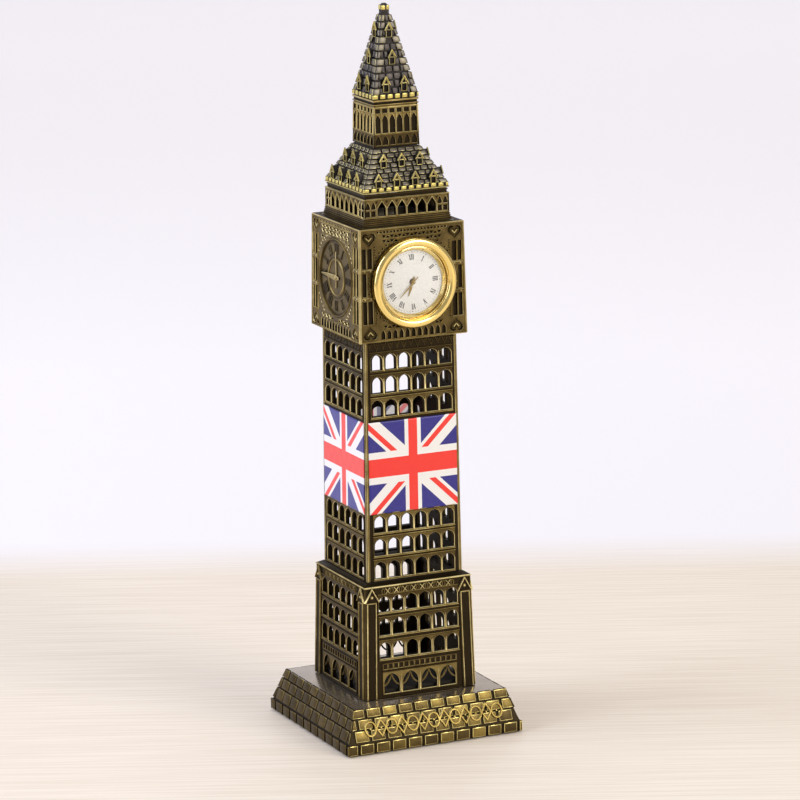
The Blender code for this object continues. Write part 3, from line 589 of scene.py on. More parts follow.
def build_base():
    """Courses of rounded blocks round a dark core, under a polished level top."""
    foot, top, half = levels("base_plinth")
    proud, pitch = 0.65, 7.2
    band_top, slope_foot = 4.7, 5.3
    top_half = half - 5.0
    slope = taper(slope_foot, top, half - 0.5, top_half)
    core = Casting()
    core.square([(half - proud, foot, 0.12), (half - proud, band_top - 0.3, 0.12),
                 (slope(slope_foot) - proud, slope_foot, 0.12), (top_half - proud, top - 0.5, 0.1)])
    courses = ((foot + 0.15, band_top, -34.45), (slope_foot + 0.2, 9.8, -36.1),
               (10.3, 14.1, -33.8), (14.6, top, -29.5))
    for number, (z0, z1, first_joint) in enumerate(courses):
        half_at = slope if number else (lambda z: half)
        for side in SIDES:
            core.place = on_wall(side, half_at)
            limit_low, limit_high = half_at(z0) - 0.05, half_at(z1) - 0.05
            gap = 0.6 if side == "left" and number else 1.15
            for i in range(-1, 11):
                x0 = first_joint + i * pitch + gap / 2
                x1 = x0 + pitch - gap
                outline = [(max(x0, -limit_low), z0), (min(x1, limit_low), z0),
                           (min(x1, limit_high), z1), (max(x0, -limit_high), z1)]
                if outline[1][0] - outline[0][0] < 0.9 or outline[2][0] - outline[3][0] < 0.9:
                    continue
                lift = chance.uniform(-0.08, 0.04)
                rub = chance.uniform(0.40, 0.64)
                # On the left side the block edges get a lower rub: painted shade on the side away from the
                # key light.
                core.pillow(outline, -proud - 0.2, lift, (rub, 0.72 if side == "left" else 1.0, 0.15), 0.36)
    core.place = on_wall("front", slope)
    build_ornament(core, 10.3)
    core.finish("base_blocks", ["base_plinth"], CAST_BASE, crease=50)

    cover = Casting()
    cover.square([(top_half - 0.35, top - 0.6, 0.6), (top_half - 0.12, top - 0.12, 0.9),
                  (top_half - 0.5, top, 0.5)])
    cover.finish("base_top", (), POLISHED)
    # Painted shade: a near-black sheet over the base top inside the tower, where it lies in the tower's
    # shade.
    shade_sheet = Casting()
    shade_sheet.square([(19.8, top - 0.3, 0.06), (19.8, top + 0.06, 0.06)])
    shade_sheet.finish("base_shade_sheet", (), CAST_DARK)


def build_ornament(core, middle):
    """A raised chain of rings and lozenges across the front slope."""
    for i, x in enumerate(spread(13, 4.75)):
        if i % 2:
            shape = diamond(x, middle, 4.3, 6.2)
        else:
            shape = [(x + (px - x) * 0.85, pz) for px, pz in circle(x, middle, 2.75, 20)]
        core.ribbon(shape, 0.85, -0.2, 0.6, (0.7, 1.0), True, 0.5)
        core.boss(x, middle, 0.6, -0.3, 0.5, 0.8, 10)


# ---- arcades

def arcade(cast, centres, foot, top, width, reach, rub, spring=0.62, lines=(0.8, 0.65)):
    """A strip of arches whose slim shafts spread into the spandrels, between two strings."""
    holes = [arch(x, foot + 0.1, top, width, spring) for x in centres]
    cast.plate(rectangle(-reach, reach, foot - 0.35, top + 0.7), holes, -0.15, 0.3,
                  (rub, 1.0, 0.12, 0.3), 0.15)
    for x in [(a + b) / 2 for a, b in zip(centres, centres[1:])]:
        cast.post(x, [(foot - 0.1, 0.45, 0.7), (foot + 0.3, 0.22, 0.85),
                                (foot + (top - foot) * spring, 0.22, 0.85), (top - 0.9, 0.12, 0.7)], 0.3, 6)
    for z, wide, out, bright in ((foot - 0.45, 0.6, 0.6, lines[0]), (top + 0.9, 0.5, 0.5, lines[1])):
        cast.ribbon([(-reach, z), (reach, z)], wide, -0.1, out, (bright, bright + 0.15))


def panel_outline(half_at, z0, z1, depth=0.0):
    return tapered(half_at(z0) - depth - SEAM, half_at(z1) - depth - SEAM, z0, z1)


def shaft_wall():
    """Foot, top and leaning half width of the shaft."""
    z0, z1, half = levels("shaft_panel_front")
    return z0, z1, taper(z0, z1, half + SEAM, half + SEAM - 0.8)


def build_shaft():
    z0, z1, half_at = shaft_wall()
    row_foot, row_pitch, arch_high = z0 + 0.9, 9.61, 7.2
    pitch, width, wall = 6.15, 5.4, 1.4
    centres = spread(6, pitch)
    behind_film = range(3, 7)
    for side in SIDES:
        cast = Casting(on_wall(side, half_at))
        holes = []
        for row in range(10):
            foot = row_foot + row * row_pitch
            top = min(foot + arch_high, z1 - 5.4)
            light = foot + 4.2 if row == behind_film[-1] else top - 0.3
            holes += [arch(x, foot, light, width - 1.05, 0.62) for x in centres]
            if row not in behind_film:
                # Rub of each row's arcade; the lower values of the top two rows are painted shadow of the
                # clock stage above.
                glow = (0.46, 0.50, 0.55, 0, 0, 0, 0, 0.50, 0.34, 0.26)[row]
                arcade(cast, centres, foot, top, width, 18.45, glow, lines=(glow + 0.2, glow + 0.22))
        cast.plate(panel_outline(half_at, z0, z1), holes, -wall, 0.0, (0.14, 0.22, 0.06), 0.2,
                      panel_outline(half_at, z0, z1, wall))
        strip = [(half_at(z0) - 1.15, z0), (half_at(z0) - 0.1, z0), (half_at(z1) - 0.1, z1),
                 (half_at(z1) - 1.15, z1)]
        for outline in (strip, mirrored(strip)):
            cast.block(outline, -0.1, 0.28, (0.6, 0.9, 0.15), 0.15)
        frieze(cast, z1 - 4.6, z1 - 0.4)
        cast.finish("shaft_casting_" + side, ["shaft_panel_" + side])


def frieze(cast, z0, z1):
    """Small drops and rosettes hanging under the clock stage."""
    for i, x in enumerate(spread(13, 3.05)):
        deep = z0 + (1.1 if i % 2 else 1.9)
        cast.ribbon([(x - 1.15, z1 - 0.4), (x, deep), (x + 1.15, z1 - 0.4)], 0.36, -0.1, 0.28, (0.45, 0.75))
        cast.boss(x, z1 - 1.0, 0.42, -0.1, 0.3, 0.5, 8)
        cast.boss(x, deep - 0.55, 0.3, -0.1, 0.3, 0.55, 8)


def build_storey():
    z0, z1, half = levels("storey_panel_front")
    half_at = taper(z0, z1, half + SEAM, half + SEAM - 1.05)
    pitch, wall = 6.1, 1.6
    rows = ((34.8, 41.7), (44.6, 51.6), (54.3, 61.0))
    for side in SIDES:
        cast = Casting(on_wall(side, half_at))
        centres = spread(6, pitch)
        wide_centres = spread(4, 8.45)
        wide_foot, wide_top, wide = 20.0, 28.5, 7.05
        holes = [arch(x, wide_foot, wide_top + 0.05, wide + 0.1, 0.45) for x in wide_centres]
        arcade(cast, wide_centres, wide_foot, wide_top, wide, 16.9, 0.62, 0.45, (0.2, 0.35))
        for number, (foot, top) in enumerate(rows):
            holes += [arch(x, foot, top + 0.05, 5.1, 0.62) for x in centres]
            arcade(cast, centres, foot, top, 5.0, 18.2, (0.48, 0.40, 0.36)[number], lines=(0.75, 0.6))
        cast.plate(panel_outline(half_at, z0, z1), holes, -wall, 0.0, FIELD, 0.2,
                      panel_outline(half_at, z0, z1, wall))
        for x in wide_centres:
            curve = [(-3.55, 23.2), (-2.6, 23.6), (-1.6, 24.5), (-0.75, 25.9), (0.0, 28.0)]
            path = [(x + dx, z) for dx, z in curve] + [(x - dx, z) for dx, z in reversed(curve[:-1])]
            cast.ribbon(path, 0.75, -0.9, -0.1, (0.6, 0.85))
        balustrade(cast, 29.9, 32.9, 14, 2.38)
        buttresses(cast, half_at, z0)
        zigzag(cast, 61.9, 64.4, 16.6)
        cast.finish("storey_casting_" + side, ["storey_panel_" + side])

    low, high = span("storey_ledge")
    shaft_half = levels("shaft_panel_front")[2]
    ledge = Casting()
    ledge.square([(high.x, low.z, 0.9), (high.x, low.z + 0.25, 1.0), (high.x - 0.25, low.z + 0.5, 0.55),
                       (high.x - 0.5, low.z + 0.52, 0.14), (shaft_half + 1.0, high.z - 0.15, 0.16),
                       (shaft_half + 0.8, high.z, 0.16)], 17.0)
    ledge.finish("ledge_casting", ["storey_ledge"], slot="dark_bronze")


def balustrade(cast, z0, z1, count, pitch):
    """A strip of small sunk squares."""
    reach = count * pitch / 2 + 0.2
    squares = [rectangle(x - 0.88, x + 0.88, z0 + 0.5, z1 - 0.45) for x in spread(count, pitch)]
    cast.plate(rectangle(-reach, reach, z0, z1), squares, -0.1, 0.42, (0.5, 0.8, 0.06, 0.4), 0.12)


def buttresses(cast, half_at, z0):
    """A flat pier at each corner, framed by a thin moulding, under a gabled top with a boss."""
    shoulder, apex = 59.3, 64.7
    pier = [(half_at(z0) - 5.4, z0), (half_at(z0) - 0.3, z0), (half_at(shoulder) - 0.3, shoulder),
            (half_at(shoulder) - 5.4, shoulder)]
    line = [(half_at(z0) - 4.75, z0 + 0.1), (half_at(shoulder) - 4.75, shoulder - 0.6),
            (half_at(shoulder) - 0.95, shoulder - 0.6), (half_at(z0) - 0.95, z0 + 0.1)]
    middle = half_at(apex) - 2.85
    gable = [(middle - 2.7, shoulder), (middle + 2.6, shoulder), (middle, apex)]
    slopes = [(middle + 3.1, shoulder - 0.2), (middle, apex - 0.1), (middle - 3.1, shoulder - 0.2)]
    for flip in (list, mirrored):
        cast.block(flip(pier), -0.1, 0.45, (0.12, 0.4, 0.15), 0.12)
        cast.ribbon(flip(line), 0.62, 0.35, 0.85, (0.85, 1.0))
        cast.block(flip(gable), -0.1, 0.5, (0.1, 0.3, 0.15), 0.12)
        cast.ribbon(flip(slopes), 0.62, 0.3, 1.0, (0.9, 1.0))
        corner = [(half_at(z0) - 0.3, z0), (half_at(apex) - 0.3, apex)]
        cast.ribbon(flip(corner), 0.4, -0.1, 0.3, (0.35, 0.6))
    for s in (-1, 1):
        cast.boss(s * middle, shoulder + 1.9, 0.8, 0.4, 0.9, 0.75)
        cast.boss(s * middle, shoulder + 1.9, 0.42, 0.8, 1.1, 1.0)


def zigzag(cast, z0, z1, reach):
    """Crosses and upright ovals below the cornice."""
    pitch = 3.9
    count = int(2 * reach / pitch)
    for x in spread(count, pitch):
        for lean in (-1, 1):
            path = [(x - lean * 1.05, z0), (x + lean * 1.05, z1)]
            cast.ribbon(path, 0.42, -0.1, 0.42, LINE)
        cast.boss(x, (z0 + z1) / 2, 0.45, -0.1, 0.6, 0.9, 8)
    for x in spread(count + 1, pitch):
        oval = [(x + (px - x) * 0.5, pz) for px, pz in circle(x, (z0 + z1) / 2, 1.2, 12)]
        cast.ribbon(oval, 0.3, -0.1, 0.35, (0.7, 0.9), True)
    cast.ribbon([(-reach, z0 - 0.1), (reach, z0 - 0.1)], 0.3, -0.1, 0.3, (0.5, 0.8))


# ---- stickers

def build_stickers():
    """Thin printed film with a slight ripple, pale and translucent from inside the tower."""
    back = film_back()
    # The left sticker gets more painted sheen than the others.
    shades = {"front": sticker_print("print_front", 0.0), "left": sticker_print("print_side", 0.05)}
    low, high = span("sticker_front")
    _, _, half_at = shaft_wall()
    width, height = high.x - low.x, high.z - low.z
    steps, raised, thickness = 48, 0.5, 0.16
    for side in SIDES:
        place = on_wall(side, half_at)
        points, layout = [], []
        for row in range(steps + 1):
            for column in range(steps + 1):
                u, v = column / steps - 0.5, row / steps - 0.5
                x, z = u * width, low.z + (v + 0.5) * height
                ripple = 0.03 * math.sin(x * 1.02) * math.sin((z - low.z) * 0.654)
                edge = max(abs(u), abs(v)) * 2
                points.append(place(x, z, raised + ripple * (1 - edge ** 6)))
                layout.append((u * FLAG[0], v * FLAG[1], 0.0))
        faces = []
        for row in range(steps):
            for column in range(steps):
                a = row * (steps + 1) + column
                faces.append((a, a + 1, a + steps + 2, a + steps + 1))
        mesh = bpy.data.meshes.new("flag_film_" + side)
        mesh.from_pydata([p * MM for p in points], [], faces)
        mesh.attributes.new("print", "FLOAT_VECTOR", "POINT").data.foreach_set(
            "vector", [value for spot in layout for value in spot])
        mesh.shade_smooth()
        mesh.materials.append(shades.get(side, shades["front"]))
        mesh.materials.append(back)
        film = show("flag_film_" + side, mesh)
        thick = film.modifiers.new("thickness", "SOLIDIFY")
        thick.thickness = thickness * MM
        thick.offset = -1.0
        thick.material_offset = 1
        thick.material_offset_rim = 0
        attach(film, "tower")
        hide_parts("sticker_" + side)


# ---- clock stage

def touching(one, two, gap):
    """Whether two outlines come nearer to each other than gap."""
    pairs = ((one, two), (two, one))
    for axis in (0, 1):
        if any(min(p[axis] for p in these) > max(p[axis] for p in those) + gap for these, those in pairs):
            return False
    for these, those in pairs:
        for point in these:
            spot, inside = Vector(point), False
            for a, b in zip(those, those[1:] + those[:1]):
                start, along = Vector(a), Vector(b) - Vector(a)
                share = max(0.0, min(1.0, (spot - start).dot(along) / along.length_squared))
                if (start + along * share - spot).length < gap:
                    return True
                if (a[1] > point[1]) != (b[1] > point[1]):
                    inside ^= point[0] < a[0] + (point[1] - a[1]) / (b[1] - a[1]) * (b[0] - a[0])
            if inside:
                return True
    return False


def stage_holes(half, z0, z1, centre, clear):
    """Sunk shapes of the tracery: slots, hearts, lights, dentils and the lattice round the dial."""
    shapes = []
    for s in (-1, 1):
        for low, high in ((z0 + 7.6, z0 + 16.9), (z0 + 18.9, z0 + 28.3), (z0 + 30.2, z1 - 7.9)):
            for near, wide in ((half - 5.35, 2.05), (half - 2.75, 1.75)):
                x0, x1 = sorted((s * near, s * (near + wide)))
                shapes.append(rectangle(x0, x1, low, high))
        shapes.append(heart(s * (half - 4.0), z0 + 3.9, 6.0, -1))
        shapes.append(heart(s * (half - 4.1), z1 - 4.4, 6.0, 1))
    shapes += [lancet(x, z0 + 0.9, z0 + 4.7, 1.8) for x in spread(11, 2.7)]
    shapes += [rectangle(x - 0.42, x + 0.42, z1 - 2.1, z1 - 1.3) for x in spread(21, 1.5)]
    for z in (z1 - 3.55, z1 - 5.45, z0 + 6.0):
        shapes += [triangle(x, z, 2.0, 1.15, i % 2) for i, x in enumerate(spread(15, 1.75))]
    for i in range(56):
        a = 2 * math.pi * (i + 0.5) / 56
        reach = clear + 1.75
        shapes.append(circle(reach * math.sin(a), centre + reach * math.cos(a), 0.4, 8))
    rows = [z0 + 8.2 + 2.15 * i for i in range(4)] + [z1 - 7.9 - 2.15 * i for i in range(4)]
    for z in rows:
        shapes += [quatrefoil(x, z, 0.88) for x in spread(13, 2.15)]
    for z in rows:
        shapes += [circle(x, z + lift, 0.25, 6) for x in spread(12, 2.15) for lift in (-1.07, 0.0, 1.07)]
    for i in range(31):
        z = z0 + 7.8 + i * 1.03
        for x in (6.65 - half, half - 6.65):
            shapes.append(rectangle(x - 0.28, x + 0.28, z - 0.28, z + 0.28))
    kept, grown = [], [circle(0.0, centre, clear, 64)]
    for shape in shapes:
        mouth = inset(shape, -0.14)
        if not any(touching(mouth, other, 0.1) for other in grown):
            kept.append(shape)
            grown.append(mouth)
    return kept


def build_stage():
    low, high = span("stage_panel_left")
    z0, z1 = low.z, high.z
    half0 = high.y + SEAM
    half_at = taper(z0, z1, half0, half0 - 0.73)
    bezel_low, bezel_high = span("insert_bezel")
    centre = (bezel_low.z + bezel_high.z) / 2
    bore, ring = 17.5, 16.2
    sunk, wall = 0.85, 2.2
    for side in SIDES:
        cast = Casting(on_wall(side, half_at))
        working = side == "front"
        opening = circle(0.0, centre, bore if working else ring, 64)
        core_holes = [opening] if working else []
        cast.plate(panel_outline(half_at, z0, z1, 0.05), core_holes, -wall, -sunk,
                      (0.07, 0.1, 0.07), 0.02, panel_outline(half_at, z0, z1, wall))
        holes = [opening] + stage_holes(half_at(z1), z0, z1, centre, 17.75 if working else 16.6)
        cast.plate(panel_outline(half_at, z0, z1), holes, -sunk - 0.05, 0.0, LATTICE, 0.14)
        stage_lines(cast, half_at, z0, z1, centre, 18.6 if working else 17.0)
        stage_hearts(cast, half_at(z1), z0, z1, sunk)
        if not working:
            cast_dial(cast, centre, sunk)
        cast.finish("stage_casting_" + side, ["stage_panel_" + side])


def stage_lines(cast, half_at, z0, z1, centre, clear):
    """Thin mouldings: border, tier bands and string courses broken by the dial."""
    border = inset(panel_outline(half_at, z0, z1), 0.38)
    cast.ribbon(border, 0.62, -0.05, 0.3, (0.64, 0.85), True)
    cast.ribbon([(-12.8, z1 - 2.5), (12.8, z1 - 2.5)], 0.3, -0.05, 0.2, (0.6, 0.9))
    for z in (z0 + 5.1, z0 + 6.95, z1 - 6.5):
        reach = math.sqrt(max(clear ** 2 - (z - centre) ** 2, 0.0))
        for s in (-1, 1):
            cast.ribbon([(s * (reach + 0.2), z), (s * 12.8, z)], 0.25, -0.05, 0.18, (0.55, 0.85))
    near = half_at(z1) - 5.7
    for s in (-1, 1):
        for z in (z0 + 17.9, z0 + 29.25):
            x0, x1 = sorted((s * (near + 0.1), s * (near + 5.2)))
            cast.block(rectangle(x0, x1, z - 0.6, z + 0.6), -0.05, 0.35, (0.45, 0.85, 0.2), 0.2)
            for x in (s * (near + 1.2), s * (near + 3.9)):
                cast.boss(x, z, 0.4, 0.25, 0.55, 0.8, 8)
        for offset, low in ((0.1, z0 + 7.0), (2.6, z0 + 7.0), (-0.45, z0 + 7.0)):
            path = [(s * (near + offset), low), (s * (near + offset), z1 - 7.3)]
            cast.ribbon(path, 0.26, -0.05, 0.25, (0.6, 0.9))


def stage_hearts(cast, half, z0, z1, sunk):
    """Heart medallions in the four corners, the lower two upside down."""
    for s in (-1, 1):
        for x, z, up in ((s * (half - 4.1), z1 - 4.4, 1), (s * (half - 4.0), z0 + 3.9, -1)):
            cast.ribbon(heart(x, z, 6.6, up), 0.35, -0.1, 0.25, (0.5, 0.8), True)
            cast.ribbon(heart(x, z, 3.9, up), 0.7, -sunk, -0.1, (0.42, 0.7), True)
            tick = [(x - 1.2, z + 0.9 * up), (x, z - 0.45 * up), (x + 1.2, z + 0.9 * up)]
            cast.ribbon(tick, 0.75, -sunk, -0.1, (0.85, 1.0))


def numeral_strokes(text):
    """Strokes of a roman numeral, as (from x, to x, thickness) at foot and top, with its width."""
    strokes, x = [], 0.0
    for letter in text:
        if letter == "I":
            strokes.append((x, x, 1.0))
            x += 0.62
        elif letter == "V":
            strokes += [(x + 0.42, x, 1.0), (x + 0.42, x + 0.84, 0.5)]
            x += 1.25
        else:
            strokes += [(x + 0.84, x, 1.0), (x, x + 0.84, 0.5)]
            x += 1.25
    return strokes, x - 0.62


def numerals(cast, centre, radius, height, stroke, low, high, rubs, serifs=True, lean=0.0):
    """Twelve upright roman numerals round a dial, each with its foot towards the middle."""
    names = ("XII", "I", "II", "III", "IV", "V", "VI", "VII", "VIII", "IX", "X", "XI")
    for hour, text in enumerate(names):
        turn = math.radians(lean - 30 * hour)
        cos, sin = math.cos(turn), math.sin(turn)
        strokes, wide = numeral_strokes(text)
        unit = height * 0.42

        def spin(x, r, cos=cos, sin=sin):
            return x * cos - r * sin, centre + x * sin + r * cos

        for foot_x, top_x, weight in strokes:
            x0, x1 = (foot_x - wide / 2) * unit, (top_x - wide / 2) * unit
            half = stroke * weight / 2
            quad = [(x0 - half, -height / 2), (x0 + half, -height / 2), (x1 + half, height / 2),
                    (x1 - half, height / 2)]
            cast.block([spin(x, radius + r) for x, r in quad], low, high, rubs, stroke * 0.12)
        for r in (-height / 2, height / 2) if serifs else ():
            reach = wide * unit / 2 + stroke * 0.7
            serif = rectangle(-reach, reach, r - stroke * 0.14, r + stroke * 0.14)
            cast.block([spin(x, radius + q) for x, q in serif], low, high, rubs, stroke * 0.05)


def cast_dial(cast, centre, sunk):
    """The clock face that is only cast in relief, for ever at nine o'clock."""
    floor = -sunk + 0.45
    cast.block(circle(0.0, centre, 16.1, 64), -sunk, floor, (0.48, 0.7, 0.05), 0.1)
    for radius, steps, wide, rise, rubs in (
            (15.75, 64, 0.8, 0.35, (0.5, 0.75)), (14.9, 64, 0.25, 0.0, (0.3, 0.6)),
            (8.6, 48, 0.22, floor + 0.2, (0.3, 0.6)), (7.4, 48, 0.7, 0.05, (0.6, 0.9))):
        cast.ribbon(circle(0.0, centre, radius, steps), wide, floor - 0.1, rise, rubs, True)
    numerals(cast, centre, 11.7, 3.8, 0.66, floor - 0.1, floor + 0.32, (0.08, 0.5, 0.0))
    hand_up = [(-0.5, -4.2), (0.5, -4.2), (0.75, 0.0), (0.35, 10.6), (-0.35, 10.6), (-0.75, 0.0)]
    hand_left = [(3.0, 0.5), (0.0, 1.1), (-8.0, 0.75), (-13.6, 0.2), (-13.6, -0.2), (-8.0, -0.75),
                 (0.0, -1.1), (3.0, -0.5)]
    # The upright hand gets a lower rub than the one pointing to nine: painted shade on it.
    for shape, rise, bright in ((hand_up, 0.5, 0.45), (hand_left, 0.65, 0.66)):
        outline = [(x, centre + z) for x, z in shape]
        cast.block(outline, floor - 0.1, floor + rise, (bright, 0.9, 0.06), 0.15)
    cast.boss(0.0, centre, 1.2, floor, floor + 0.95, 0.7, 16)


# ---- belfry, roofs, lantern and spire

def build_belfry():
    z0, z1, _ = levels("belfry_arcade")
    wall_foot, wall_top = z0 + 3.0, z0 + 11.0
    cast = Casting()
    steps = []
    for i, half in enumerate((19.7, 19.5, 19.3, 19.15)):
        steps += [(half, z0 + i * 0.75, 0.5), (half, z0 + i * 0.75 + 0.4, 0.3),
                  (half - 0.3, z0 + i * 0.75 + 0.45, 0.03), (half - 0.3, z0 + i * 0.75 + 0.7, 0.06)]
    cast.square(steps + [(19.0, wall_foot, 0.2)], 16.9)
    half_at = taper(wall_foot, wall_top, 19.0, 18.9)
    pitch = 4.45
    centres = spread(6, pitch)
    foot, top = z0 + 3.7, wall_top - 1.4
    for side in SIDES:
        cast.place = on_wall(side, half_at)
        holes = [lancet(x, foot, top, 3.8, 0.5) for x in centres]
        blind = []
        for x in (-14.7, -17.2, 14.7, 17.2):
            blind += [lancet(x, foot + 3.0, top, 1.9, 0.35), rectangle(x - 0.95, x + 0.95, foot, foot + 2.3)]
        corner, inside = half_at(wall_foot), half_at(wall_foot) - 2.0
        outline = tapered(corner, half_at(wall_top), wall_foot, wall_top)
        core = tapered(corner - 0.6, corner - 0.7, wall_foot, wall_top)
        rear = rectangle(-inside, inside, wall_foot, wall_top)
        cast.plate(core, holes, -2.0, -0.7, (0.08, 0.1, 0.08), 0.02, rear)
        cast.plate(outline, holes + blind, -0.75, 0.0, (0.52, 0.95, 0.1), 0.14)
        for x in spread(7, pitch):
            cast.ribbon([(x, foot), (x, foot + 3.4)], 0.34, -0.1, 0.35, (0.85, 1.0))
        for x in centres:
            gable = [(x + 2.2, foot + 3.2), (x, top + 0.45), (x - 2.2, foot + 3.2)]
            cast.ribbon(gable, 0.34, -0.1, 0.32, (0.85, 1.0))
        for x in spread(7, pitch):
            cast.block(triangle(x, top - 0.25, 1.5, 1.2, False), -0.1, 0.12, (0.15, 0.4, 0.1), 0.08)
        for z, wide, out in ((wall_foot + 0.2, 0.4, 0.3), (wall_top - 0.3, 0.5, 0.35)):
            cast.ribbon([(-18.7, z), (18.7, z)], wide, -0.1, out, (0.7, 0.95))
    cast.square([(18.2, wall_top, 0.1), (18.2, z1 - 0.5, 0.3), (18.5, z1 - 0.4, 0.3), (18.5, z1, 0.2)], 16.9)
    cast.finish("belfry_casting", ["belfry_arcade"])


def dormer(cast, side, x, foot, top, width, half_at):
    """A gabled window standing upright on the slope: dark light and dark peak in a bright outline."""
    cast.place = upright(side, half_at(foot) + 0.3)
    half = width / 2
    eaves = foot + (top - foot) * 0.52
    depth = half_at(foot) - half_at(top) + 0.3
    body = [(x - half * 0.84, foot), (x + half * 0.84, foot), (x + half * 0.84, eaves), (x, top - 0.3),
            (x - half * 0.84, eaves)]
    light = rectangle(x - half * 0.62, x + half * 0.62, foot + 0.25, eaves - 0.25)
    peak = triangle(x, (eaves + top - 1.1) / 2 + 0.1, half * 1.0, top - 1.2 - eaves, True)
    cast.block(body, -depth, -0.5, (0.02, 0.1, 0.14), 0.05)
    cast.plate(body, [light, peak], -0.55, 0.05, (0.55, 1.0, 0.05), 0.08)
    gable = [(x + half * 1.12, eaves - 0.3), (x, top), (x - half * 1.12, eaves - 0.3)]
    cast.ribbon(gable, 0.42, -0.3, 0.22, (0.95, 0.7))


def shingles(cast, side, half_at, z0, z1, courses, pitch, keep_clear, rubs, quoins):
    """Running courses of rounded shingles, with brighter stones down both hips."""
    cast.place = on_wall(side, half_at)
    course = (z1 - z0) / courses
    shade, edge, hip = rubs
    for row in range(courses):
        foot = z0 + row * course
        top = foot + course * 0.8
        limit = half_at(top) - 0.12
        wide, bright = quoins[row % len(quoins)]
        quoin = min(wide, limit * 0.7)
        for s in (-1, 1):
            outer_low, outer_high = half_at(foot) - 0.08, half_at(top) - 0.08
            outline = [(outer_low - quoin, foot), (outer_low, foot), (outer_high, top),
                       (outer_high - quoin, top)]
            outline = outline if s > 0 else mirrored(outline)
            cast.pillow(outline, -0.6, 0.38, (hip * bright, hip * bright + 0.15, 0.1), 0.3)
        free = half_at(foot) - quoin - 0.3
        count = max(int(round(2 * free / pitch)), 0)
        if free < 0.8 or count < 1:
            continue
        step = 2 * free / count
        shift = step / 2 if row % 2 and count > 2 else 0.0
        for x in spread(count + (1 if shift else 0), step):
            reach = step / 2 - 0.25 + chance.uniform(-0.15, 0.05)
            pieces = [(max(x - reach, -free), min(x + reach, free))]
            for cx, blocked, z_low, z_high in keep_clear:
                if z_low < top and foot < z_high:
                    pieces = [part for a, b in pieces
                              for part in ((a, min(b, cx - blocked)), (max(a, cx + blocked), b))
                              if part[1] - part[0] > 0.1]
            for a, b in pieces:
                if b - a > 0.75:
                    rub = shade * chance.uniform(0.7, 1.3)
                    outline = rectangle(a, b, foot + chance.uniform(0, 0.15), top)
                    cast.pillow(outline, -0.5, chance.uniform(0.16, 0.30), (rub, edge, 0.06), 0.3)


def dentils(cast, z0, z1, half, first, count, pitch, width):
    """Bright square blocks along all four sides, from just inside one corner to the next."""
    for side in SIDES:
        cast.place = upright(side, half)
        for i in range(count):
            x0 = first + i * pitch - width / 2
            x1 = min(x0 + width, half + 0.3)
            if x1 - x0 > 0.8:
                cast.pillow(rectangle(x0, x1, z0, z1), -0.8, 0.35, (0.85, 1.0, 0.15), 0.25)


def slates(cast, half_at, foot, top, courses, pitch, spots, sill, rubs, quoins):
    """Shingles and dormers on all four slopes."""
    keep_clear = [(x, 1.5, z - 0.1, z + sill) for x, z, _ in spots]
    for side in SIDES:
        shingles(cast, side, half_at, foot, top, courses, pitch, keep_clear, rubs, quoins)
        for x, z0, z1 in spots:
            dormer(cast, side, x, z0, z1, 3.2, half_at)


def build_main_roof():
    z0, z1, half = levels("main_roof")
    eaves = z0 + 2.0
    foot_half, top_half = half - 0.3, 10.3
    half_at = taper(eaves, z1, foot_half, top_half)
    cast = Casting()
    cast.square([(18.2, z0, 0.3), (18.95, z0 + 0.15, 0.7), (18.95, z0 + 0.6, 0.6), (18.2, z0 + 0.75, 0.06),
                    (18.2, eaves, 0.06), (foot_half - 0.6, eaves, 0.06), (top_half - 0.45, z1 - 0.05, 0.06)])
    dentils(cast, z0 + 0.7, eaves + 0.2, 18.5, -17.6, 12, 3.3, 2.3)
    spots = [(x, 228.4, 234.0) for x in spread(4, 8.1)] + [(x, 235.6, 241.1) for x in spread(3, 8.0)]
    slates(cast, half_at, eaves + 0.2, z1 - 0.05, 8, 3.3, spots, 2.2, (0.28, 0.62, 0.46),
           ((3.0, 1.0), (2.1, 0.9)))
    cast.finish("roof_casting", ["main_roof"], CAST_ROOF, crease=45)


def build_lantern():
    z0, z1, _ = levels("lantern_arcade")
    wall_foot, wall_top = z0 + 0.3, z1 - 2.4
    half_at = taper(wall_foot, wall_top, 10.2, 9.7)
    cast = Casting()
    cast.square([(10.2, z0, 0.2), (10.2, wall_foot, 0.1), (9.65, wall_foot, 0.04),
                    (9.15, wall_top, 0.1), (9.75, wall_top, 0.3), (10.1, wall_top + 0.3, 0.75),
                    (10.1, wall_top + 0.6, 0.3), (9.6, wall_top + 0.75, 0.05), (9.6, wall_top + 1.5, 0.3),
                    (10.0, wall_top + 1.7, 0.75), (10.1, z1, 0.3)])
    pitch = 3.2
    centres = spread(6, pitch)
    for side in SIDES:
        cast.place = on_wall(side, half_at)
        lower = [lancet(x, 244.1, 247.9, 2.4, 0.45) for x in centres]
        upper = [lancet(x, 248.9, 256.3, 2.55, 0.72) for x in centres]
        upper += [rectangle(x - 1.15, x + 1.15, 257.0, 258.8) for x in centres]
        for low_z, high_z, holes, rubs in ((wall_foot, 248.3, lower, (0.38, 0.8, 0.05)),
                                           (248.3, wall_top, upper, (0.66, 1.0, 0.05))):
            cast.plate(tapered(half_at(low_z), half_at(high_z), low_z, high_z), holes, -0.75, 0.0, rubs, 0.1)
        corner_high = half_at(wall_top)
        for x in spread(7, pitch):
            edge = min(abs(x), corner_high - 0.3) * (1 if x > 0 else -1)
            cast.ribbon([(edge, 248.7), (edge, 259.2)], 0.4, -0.1, 0.35, (0.8, 1.0))
            cast.ribbon([(edge, 244.0), (edge, 248.2)], 0.3, -0.1, 0.12, (0.35, 0.5))
        for z, wide, bright in ((248.4, 0.4, 0.55), (256.75, 0.3, 0.7), (259.4, 0.5, 0.85)):
            cast.ribbon([(-9.7, z), (9.7, z)], wide, -0.1, 0.35, (bright, bright + 0.15))
    cast.finish("lantern_casting", ["lantern_arcade"])


